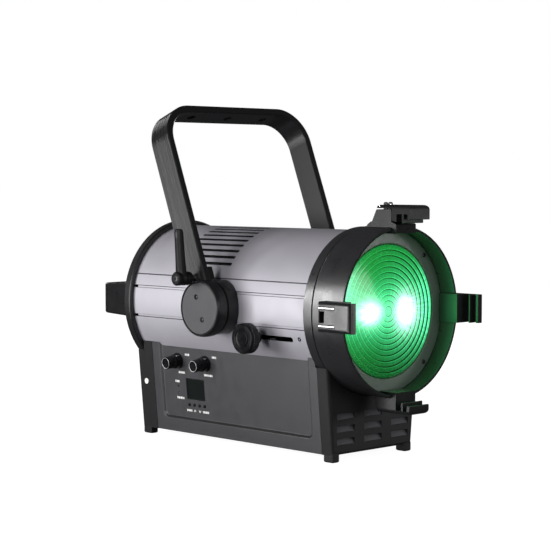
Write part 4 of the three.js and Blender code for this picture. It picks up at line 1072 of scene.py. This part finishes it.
def printed_marks():
    """Plain white signs beside the controls: bars, dots, arrows and ticks, and no lettering."""
    marks = []

    def bar(y, s, width, height, lean=0.0):
        outline = rectangle(0, 0, width, height, min(width, height) * 0.3, 2)
        mark = prism(outline, PANEL_FACE - 0.1, PANEL_FACE + 0.3, "X")
        marks.append(moved(mark, turn("X", lean), shift(0, y, s)))

    def row(y, s, widths, height=2.7, gap=0.55):
        at = y + (sum(widths) + gap * (len(widths) - 1)) / 2
        for width in widths:
            bar(at - width / 2, s, width, height)
            at -= width + gap

    mode_y, dimmer_y = KNOBS["mode_knob"][1], KNOBS["dimmer_knob"][1]
    row(mode_y - 17.5, KNOB_S + 8.5, (1.2, 1.2, 1.2, 2.4))
    row(dimmer_y - 16.5, KNOB_S + 8.5, (1.2, 2.0, 1.2, 1.2))
    row(mode_y - 5.5, KNOB_S - 14.0, (2.6, 1.2, 1.2, 2.6, 1.2))
    row(dimmer_y - 4.0, KNOB_S - 14.0, (1.2, 2.6, 1.2, 1.2, 1.2, 2.6, 1.2))
    row(STATUS["signal_led"][0] + 1, STATUS["signal_led"][1] + 5.5, (1.0, 1.0, 3.0, 1.0))
    row(STATUS["power_led"][0] - 3, STATUS["power_led"][1] - 6.0, (1.0, 3.0, 1.0, 2.4, 1.0, 1.4))
    row(BUTTONS["menu"] + 0.5, BUTTON_S - 7.0, (1.2, 1.2, 2.0, 1.2, 1.2))
    row(BUTTONS["enter"] - 1.5, BUTTON_S - 7.0, (1.2, 1.2, 1.2, 2.0, 1.2, 1.2))
    for name, tip in (("up", 1), ("down", -1)):
        for lean in (28, -28):
            bar(BUTTONS[name] + 0.9 * (1 if lean > 0 else -1), BUTTON_S - 7.0, 0.75, 3.0, lean * tip)
    return on_panel(joined(*marks))


piece("printed_marks", printed_marks(), PRINT)


# ---- rear connectors
def blades(x, turns, size):
    """Blocks set round a socket's middle."""
    return [moved(block(*size), turn("Y", a), shift(x, 0, CONNECTOR_Z)) for a in turns]


def pin_places(x, angles):
    return [(x + PIN_CIRCLE * cos(a), 0, CONNECTOR_Z + PIN_CIRCLE * sin(a)) for a in angles]


def connector(name, x):
    plate_face, face, at = REAR_HIGH.y, REAR_HIGH.y + FLANGE, (x, 0, CONNECTOR_Z)
    plate = prism(rectangle(x, CONNECTOR_Z, 26, 31, 3, 5), plate_face + GAP, face)
    body = fused(plate, rod(11.8, plate_face - 16, plate_face + 1, "Y", at, 64))
    if name == "dmx_output":
        body = boolean(body, rod(8.2, face - 3.3, face + 3, "Y", at, 64))
        profile = [(0, face - 4), (7.4, face - 4), (7.4, face - 0.6), (6.8, face - 0.1), (0, face - 0.1)]
        holes = [rod(1.2, face - 3, face + 1, "Y", place, 20)
                 for place in pin_places(x, (pi / 6, 5 * pi / 6, -pi / 2))]
        key = block(x - 1.2, x + 1.2, face - 3, face + 1, CONNECTOR_Z + 6.2, CONNECTOR_Z + 9)
        return fused(body, boolean(lathe(profile, 0.3, 64, at=at), *holes, key))
    body = boolean(body, rod(9, face - 12, face + 3, "Y", at, 64))
    if name == "dmx_input":
        return body
    core = rod(3, face - 13, plate_face - 0.5, "Y", at, 32, 0.4)
    turns = (0, 120, 240) if name == "power_inlet" else (60, 180, 300)
    return fused(body, core, *blades(x, turns, (-1.6, 1.6, face - 12.5, face - 1.2, 7.6, 9.4)))


def contacts(name, x):
    face = REAR_HIGH.y + FLANGE
    if name != "dmx_input":
        return joined(*blades(x, (30, 150, 270), (-1.5, 1.5, face - 12.2, face - 5, 4.6, 5.3)))
    profile = [(0, face - 13), (1.1, face - 13), (1.1, face - 3.2), (0.6, face - 2.4), (0, face - 2.3)]
    return joined(*[lathe(profile, 0.2, 20, at=place)
                    for place in pin_places(x, (-pi / 6, 7 * pi / 6, pi / 2))])


for name, connector_x in CONNECTORS.items():
    plastic = {"power_inlet": BLUE_PLASTIC, "power_outlet": GREY_PLASTIC}.get(name, PLASTIC)
    piece(f"{name}_socket", connector(name, connector_x), plastic, name, bevel=0.3)
    if name != "dmx_output":
        piece(f"{name}_contacts", contacts(name, connector_x), STEEL, bevel=0.1)
flange_corners = [(x + sx * 9.6, REAR_HIGH.y + 2.2, CONNECTOR_Z + sz * 12.4) for x in CONNECTORS.values()
                  for sx, sz in ((-1, 1), (1, -1))]
piece("connector_screws", screws(flange_corners, 2.2, 0.9, "cross", turn("Z", 180)), STEEL)

# ---- pivots, clamp housings and yoke
YOKE_HALF, YOKE_BAR, YOKE_WIDTH, YOKE_HEIGHT, YOKE_BEND = 118.0, 8.8, 33.0, 247.0, 44.0
HOLE_PITCH, HOLE_R, PIVOT_R = 59.0, 5.3, 5.3
COVER_SCREWS = (-13.8, 13.8)
LEVER_UP = 37.0


def leant(bm):
    """Leans the yoke's own upright frame back about the tilt axis."""
    return moved(bm, turn("X", -LEAN), shift(0, 0, AXIS))


def yoke():
    """A flat bar bent into a U. Its section has broken edges and four fine lines along the outer face."""
    chamfer, line, sunk = 1.2, 0.8, 0.22
    half, back = YOKE_WIDTH / 2, YOKE_BAR - chamfer
    section = [(chamfer, -half), (0, -half + chamfer)]
    for s in (-8.4, -2.8, 2.8, 8.4):
        section += [(0, s - line), (sunk, s - line / 2), (sunk, s + line / 2), (0, s + line)]
    section += [(0, half - chamfer), (chamfer, half), (back, half), (YOKE_BAR, half - chamfer),
                (YOKE_BAR, -half + chamfer), (back, -half)]
    straight, flat, steps = YOKE_HEIGHT - YOKE_BEND, YOKE_HALF - YOKE_BEND, 20
    path = [((-YOKE_HALF, -half), (-1, 0)), ((-YOKE_HALF, straight), (-1, 0))]
    for side in (-1, 1):
        for k in range(1, steps):
            a = pi - pi / 2 * k / steps if side < 0 else pi / 2 - pi / 2 * k / steps
            n = (cos(a), sin(a))
            path.append(((side * flat + YOKE_BEND * n[0], straight + YOKE_BEND * n[1]), n))
        if side < 0:
            path += [((-flat, YOKE_HEIGHT), (0, 1)), ((flat, YOKE_HEIGHT), (0, 1))]
    path += [((YOKE_HALF, straight), (1, 0)), ((YOKE_HALF, -half), (1, 0))]
    bar = loft([[(x - nx * t, s, h - nh * t) for t, s in section] for (x, h), (nx, nh) in path])
    past = YOKE_HALF + 12
    corners = block(-past, past, -half - 1, half + 1, -half - 1, 0)
    corners = boolean(corners, rod(half, -past - 1, past + 1, "X", segments=64))
    bores = [rod(HOLE_R, YOKE_HEIGHT - 20, YOKE_HEIGHT + 5, "Z", (x, 0, 0), 48)
             for x in (-HOLE_PITCH, 0, HOLE_PITCH)]
    bores += [rod(PIVOT_R, -past, past, "X", segments=48), rod(4.2, -past, -100, "X", (0, 0, LEVER_UP), 32)]
    bar = boolean(boolean(bar, corners), *bores)
    # Outer arm faces take the lighter copy of the black: painted light. The rest take the darker copy:
    # painted shade.
    for face in bar.faces:
        face.material_index = 1 if abs(face.calc_center_median().x) > YOKE_HALF - 0.5 else 0
    return leant(bar)


def arm_room():
    """The space that an arm of the yoke needs in its clamp housing."""
    half, x0, x1 = YOKE_WIDTH / 2 + 0.35, 100.0, YOKE_HALF + 0.35
    return leant(fused(block(x0, x1, -half, half, 0, 66), rod(half, x0, x1, "X", segments=64)))


def clamp_housing():
    back, face, radius = DISC_LOW.x, DISC_HIGH.x, DISC_HIGH.y
    body = lathe([
        (PIVOT_R, back), (radius - 0.6, back), (radius, back + 0.6), (radius, face - 5.5),
        (radius - 0.35, face - 2.6), (radius - 1.1, face - 0.7), (radius - 1.9, face), (radius - 2.3, face),
        (radius - 2.8, face - 0.8), (radius - 2.8, face - 2.7), (PIVOT_R, face - 2.7), (PIVOT_R, back),
    ], 0.3, 128, "X", BEAM)
    return boolean(body, arm_room())


def clamp_cover():
    low, high = box_of("disc_cover_right")
    radius, face = high.y, high.x
    profile = [(0, low.x), (radius, low.x), (radius, face - 0.5), (radius - 0.6, face), (0, face)]
    plate = lathe(profile, 0.2, 128, "X", BEAM)
    sink = [(0, face - 1.3), (2.6, face - 1.3), (3.4, face + 0.1), (3.4, face + 2), (0, face + 2)]
    return boolean(plate, *[leant(lathe(sink, 0.1, 40, "X", (0, 0, h))) for h in COVER_SCREWS])


def cover_screws():
    places = [(box_of("disc_cover_right")[1].x - 1.25, 0, h) for h in COVER_SCREWS]
    return leant(screws(places, 2.5, 1.1, "hex", turn("Z", 90)))


def boss():
    high = box_of("tilt_boss_right")[1]
    radius, face, root = high.y, high.x, 78
    profile = [(PIVOT_R, root), (radius, root), (radius, face - 1.4), (radius - 1.4, face)]
    profile += [(PIVOT_R, face), (PIVOT_R, root)]
    return boolean(lathe(profile, 0.5, 128, "X", BEAM), room(BARREL_R + 0.5, -60, 60))


def on_side(side, bm):
    """Shapes are made on the right side, and mirrored for the left."""
    return mirrored(bm) if side == "left" else bm


for side in ("left", "right"):
    piece(f"{side}_clamp_housing", on_side(side, clamp_housing()), CASTING, f"yoke_disc_{side}",
          body="yoke_body", bevel=0.2)
    piece(f"{side}_clamp_cover", on_side(side, clamp_cover()), DISC, f"disc_cover_{side}", body="yoke_body",
          bevel=0.15)
    piece(f"{side}_cover_screws", on_side(side, cover_screws()), DARK_STEEL, body="yoke_body")
    piece(f"{side}_tilt_boss", on_side(side, boss()), CASTING, f"tilt_boss_{side}", bevel=0.3)
piece("yoke_bar", yoke(), [BAR, BAR_FACE_PAINTED_LIGHTER], "yoke", body="yoke_body", bevel=0.2, angle=25)


# ---- clamping lever
LEVER_Y = LEVER_UP * sin(radians(LEAN))
LEVER_Z = AXIS + LEVER_UP * cos(radians(LEAN))
LEVER = (0, LEVER_Y, LEVER_Z)
LEVER_END = box_of("tilt_lever")[0].x
LEVER_REACH = box_of("tilt_lever")[1].z - LEVER_Z
RELEASE_Z = LEVER_Z + LEVER_REACH * 0.885


def lever_handle():
    """A moulded handle: a ribbed hub with an end face, and a flat arm with chamfered edges."""
    hub = lathe([
        (0, LEVER_END + 0.4), (5.4, LEVER_END + 0.4), (5.6, LEVER_END), (6.6, LEVER_END),
        (8, LEVER_END + 1.4), (8, -141.5), (7.3, -141.0), (7.3, -137.6), (8, -137.2), (8, -134.6),
        (7.2, -134.2), (7.2, -132.9), (7.8, -132.5), (7.8, -130.4), (7.0, -130.0), (7.0, -128.8),
        (7.5, -128.4), (7.2, -126.3), (0, -126.3),
    ], 0.3, 64, "X", LEVER)
    rings = []
    for t, wide, thick in ((0.02, 7.4, 5.2), (0.16, 6.8, 5.0), (0.35, 6.3, 4.8), (0.8, 5.8, 4.4),
                           (0.93, 5.8, 4.3), (0.985, 5.0, 3.6), (1.0, 3.6, 2.4)):
        x, z = -139.2 - 4.0 * t, LEVER_Z + LEVER_REACH * t
        half = [(wide * 0.35, -thick), (wide, -thick * 0.35), (wide, thick * 0.6), (wide * 0.6, thick)]
        other_half = [(-y, b) for y, b in reversed(half)]
        outline = other_half[-2:] + half + other_half[:-2]
        rings.append([(x + b, LEVER_Y + a, z) for a, b in rounded(outline, wide * 0.18, 2)])
    pocket = prism(rectangle(LEVER_Y, RELEASE_Z, 4.6, 7.6, 2.3), -160, -145.4, "X")
    return in_turn(fused(loft(rings), hub), pocket, rod(4.3, -134, -120, "X", LEVER, 32))


def lever_bright_parts():
    """The screw in the handle's end, the bright collar behind it and the oval release in the arm."""
    screw = moved(screw_head(3.9, 1.0, "hex"), turn("Z", -90), shift(LEVER_END + 1.1, LEVER_Y, LEVER_Z))
    profile = [(7.35, -140.6), (7.75, -140.6), (7.75, -138.0), (7.35, -138.0), (7.35, -140.6)]
    collar = lathe(profile, 0.1, 64, "X", LEVER)
    release = prism(rectangle(LEVER_Y, RELEASE_Z, 4.0, 7.0, 2.0), -146.0, -144.6, "X")
    return joined(screw, collar, release)


piece("lever_handle", lever_handle(), PLASTIC, "tilt_lever", body="lever", bevel=0.25)
piece("lever_fittings", lever_bright_parts(), DARK_STEEL, body="lever", bevel=0.12)


# ---- focus lock knob
def focus_knob():
    low, high = box_of("focus_knob")
    radius, face, inner = (high.z - low.z) / 2, low.x, high.x
    teeth = 44

    def gear(r, depth):
        points = []
        for k in range(teeth * 4):
            bite = (0, 0.35, 1, 0.35)[k % 4] * depth
            a = 2 * pi * k / (teeth * 4)
            points.append(((r - bite) * cos(a), (r - bite) * sin(a)))
        return points

    rings = []
    for x, less, depth in ((inner, 2.2, 0), (inner - 0.6, 1.0, 0), (inner - 1.4, 0, 1.0),
                           (face + 4.2, 0, 1.0), (face + 3.7, 1.1, 0), (face + 3.1, 1.1, 0),
                           (face + 2.7, 0.2, 0), (face + 1.2, 0.5, 0), (face, 1.9, 0)):
        rings.append([(x, FOCUS_Y + a, FOCUS_Z + b) for a, b in gear(radius - less, depth)])
    profile = [(0, face + 1.4), (10.2, face + 1.4), (11.6, face - 0.4), (11.6, face - 3), (0, face - 3)]
    dish = lathe(profile, 0.3, 72, "X", FOCUS)
    return in_turn(loft(rings), dish, rod(3.4, inner - 7.4, inner + 2, "X", FOCUS, 32))


def focus_cap():
    face = box_of("focus_knob")[0].x
    profile = [(0, face + 1.3), (9.2, face + 1.3), (9.2, face + 0.7), (8.6, face + 0.2), (7.8, face + 0.2),
               (7.4, face + 0.5), (0, face + 0.5)]
    return lathe(profile, 0.25, 72, "X", FOCUS)


piece("focus_lock_knob", focus_knob(), KNURL, "focus_knob", body="focus_lock", bevel=0.12, angle=38)
piece("focus_lock_cap", focus_cap(), KNOB_PLASTIC, body="focus_lock")

# ---- CAD nodes that stay, in better finishes
# The heatsink, the focus sled and the focus stem take dark finishes so that what shows of them through the
# slots stays dark: painted shade.
KEPT = {
    RUBBER: ("lens_gasket", "friction_washer_left", "friction_washer_right", "brake_shoe"),
    STEEL: ("latch_pin", "pivot_bolt_left", "pivot_bolt_right", "lever_stud", "guide_rod_left",
            "guide_rod_right"),
    DARK_STEEL: ("focus_stem",),
    ALUMINIUM: ("reflector", "power_supply"),
    CASTING: ("focus_sled", "rod_bracket_front", "rod_bracket_rear", "heatsink"),
    PLASTIC: ("fan_frame", "fan_rotor"),
    PANEL: ("base_plate",),
    BOARD: ("control_board",),
    LEDS: ("led_module",),
}
for material, names in KEPT.items():
    for name in names:
        mesh = frame["nodes"][name].data
        mesh.materials.clear()
        mesh.materials.append(material)


# ---- studio
def studio_surface(name, bm, surface):
    mesh = bpy.data.meshes.new(name)
    bm.to_mesh(mesh)
    bm.free()
    obj = bpy.data.objects.new(name, mesh)
    scene.collection.objects.link(obj)
    mesh.materials.append(surface.rough(0.9, 0.02).done())
    obj.visible_diffuse = obj.visible_glossy = obj.visible_transmission = False
    return obj


def lamp(name, kind, place, colour, **settings):
    light = bpy.data.lights.new(name, kind)
    light.color = colour
    for key, value in settings.items():
        setattr(light, key, value)
    obj = bpy.data.objects.new(name, light)
    scene.collection.objects.link(obj)
    obj.location = place
    obj.visible_camera = False
    return obj


def area_light(name, place, target, width, height, radiance, colour=(1, 1, 1), shape="RECTANGLE"):
    """A softbox that faces a target. Radiance is how bright its front is, whatever its size."""
    obj = lamp(name, "AREA", place, colour, shape=shape, size=width, size_y=height,
               energy=radiance * pi * width * height)
    obj.rotation_euler = (Vector(target) - Vector(place)).to_track_quat("-Z", "Y").to_euler()


FLOOR_R, BACKDROP_R = 9.0, 9.0
WHITE = (1, 1, 1, 1)
paper = Surface("studio paper", specular_ior_level=0.0, emission_color=WHITE)
paper.colour((0.25, 0.25, 0.25), 0.004, 3.0)
reach = paper.node("VectorMath", {0: paper.place}, pick="Value", operation="LENGTH")
paper.links.new(paper.ramp(reach, 0.28, 0.6, 0.955, 1.0), paper.shader.inputs["Emission Strength"])
floor = bmesh.new()
bmesh.ops.create_circle(floor, cap_ends=True, segments=96, radius=FLOOR_R)
studio_surface("studio_floor", floor, paper)

wall = Surface("studio wall", specular_ior_level=0.0, emission_color=WHITE, emission_strength=1.0)
arc = [pi * k / 64 for k in range(65)]
dome = turned([(BACKDROP_R * sin(a), BACKDROP_R * cos(a)) for a in arc], 96, "Z")
backdrop = studio_surface("studio_backdrop", dome, wall.colour((0.0, 0.0, 0.0), 0.0, 3.0))
backdrop.visible_shadow = False

world = bpy.data.worlds.new("studio")
scene.world = world
world.use_nodes = True
world.node_tree.nodes["Background"].inputs["Color"].default_value = (0.92, 0.95, 1, 1)
world.node_tree.nodes["Background"].inputs["Strength"].default_value = 0.055

MIDDLE_OF_LAMP = (MIDDLE, 0.0, AXIS / 1000)
GREEN_LIGHT = (0.02, 1.0, 0.12)
# Place, width, height and radiance of each softbox and strip. All of them face the middle of the lamp.
SOFTBOXES = {
    "key_softbox": ((-1.5, 0.5, 0.2), 0.75, 1.2, 8.0),
    "key_strip": ((-1.31, 0.86, 0.2), 0.22, 0.9, 16.0),
    "hood_strip": ((-1.31, 1.14, 0.62), 0.3, 0.5, 26.0),
    "corner_strip": ((-1.43, -0.52, 0.3), 0.16, 0.9, 24.0),
    "front_fill": ((0.35, -2.0, 0.45), 1.0, 1.0, 3.5),
    "front_strip": ((1.25, -1.08, 0.25), 0.6, 0.3, 9.0),
    "right_softbox": ((1.7, 0.3, 0.6), 0.8, 0.8, 6.0),
    "rear_softbox": ((0.3, 2.2, 0.8), 0.8, 0.8, 4.0),
}
for name, (place, *size_and_radiance) in SOFTBOXES.items():
    area_light(name, place, MIDDLE_OF_LAMP, *size_and_radiance)
area_light("beam", (MIDDLE, RING_Y / 1000 - 0.004, AXIS / 1000), (MIDDLE, -1, AXIS / 1000), 0.13, 0.13, 2.4,
           GREEN_LIGHT, "DISK")
hood_glow = lamp("hood_glow", "POINT", (MIDDLE, (RIM + 6) / 1000, AXIS / 1000), GREEN_LIGHT, energy=0.36,
                 shadow_soft_size=0.02)
hood_glow.visible_glossy = False

# Strips that are flagged: two reach only the pieces named, and two are kept off the pieces named.
FLAGGED = {
    "hood_strip": ("INCLUDE", "hood_shell"),
    "front_strip": ("INCLUDE", "lens_ring", "left_ear", "latch_plate", "front_plate_shell", "front_louvres"),
    "key_strip": ("EXCLUDE", "top_ear_base", "latch_plate", "bottom_ear", "grab_handle", "focus_lock_knob",
                  "focus_lock_cap"),
    "corner_strip": ("EXCLUDE", "left_tilt_boss"),
}
for light_name, (state, *names) in FLAGGED.items():
    chosen = bpy.data.collections.new(light_name + "_flags")
    for name in names:
        chosen.objects.link(bpy.data.objects[name])
    for member in chosen.collection_objects:
        member.light_linking.link_state = state
    bpy.data.objects[light_name].light_linking.receiver_collection = chosen

CAMERA_PLACE = (-1.39725, -1.4517, 0.3139)
CAMERA_YAW, CAMERA_PITCH, CAMERA_LENS = 44.094, -3.204, 110.92
camera = bpy.data.objects.new("camera", bpy.data.cameras.new("camera"))
scene.collection.objects.link(camera)
camera.location = CAMERA_PLACE
camera.rotation_euler = (radians(90 + CAMERA_PITCH), 0, radians(-CAMERA_YAW))
camera.data.lens = CAMERA_LENS
scene.camera = camera
scene.view_settings.view_transform = "Standard"
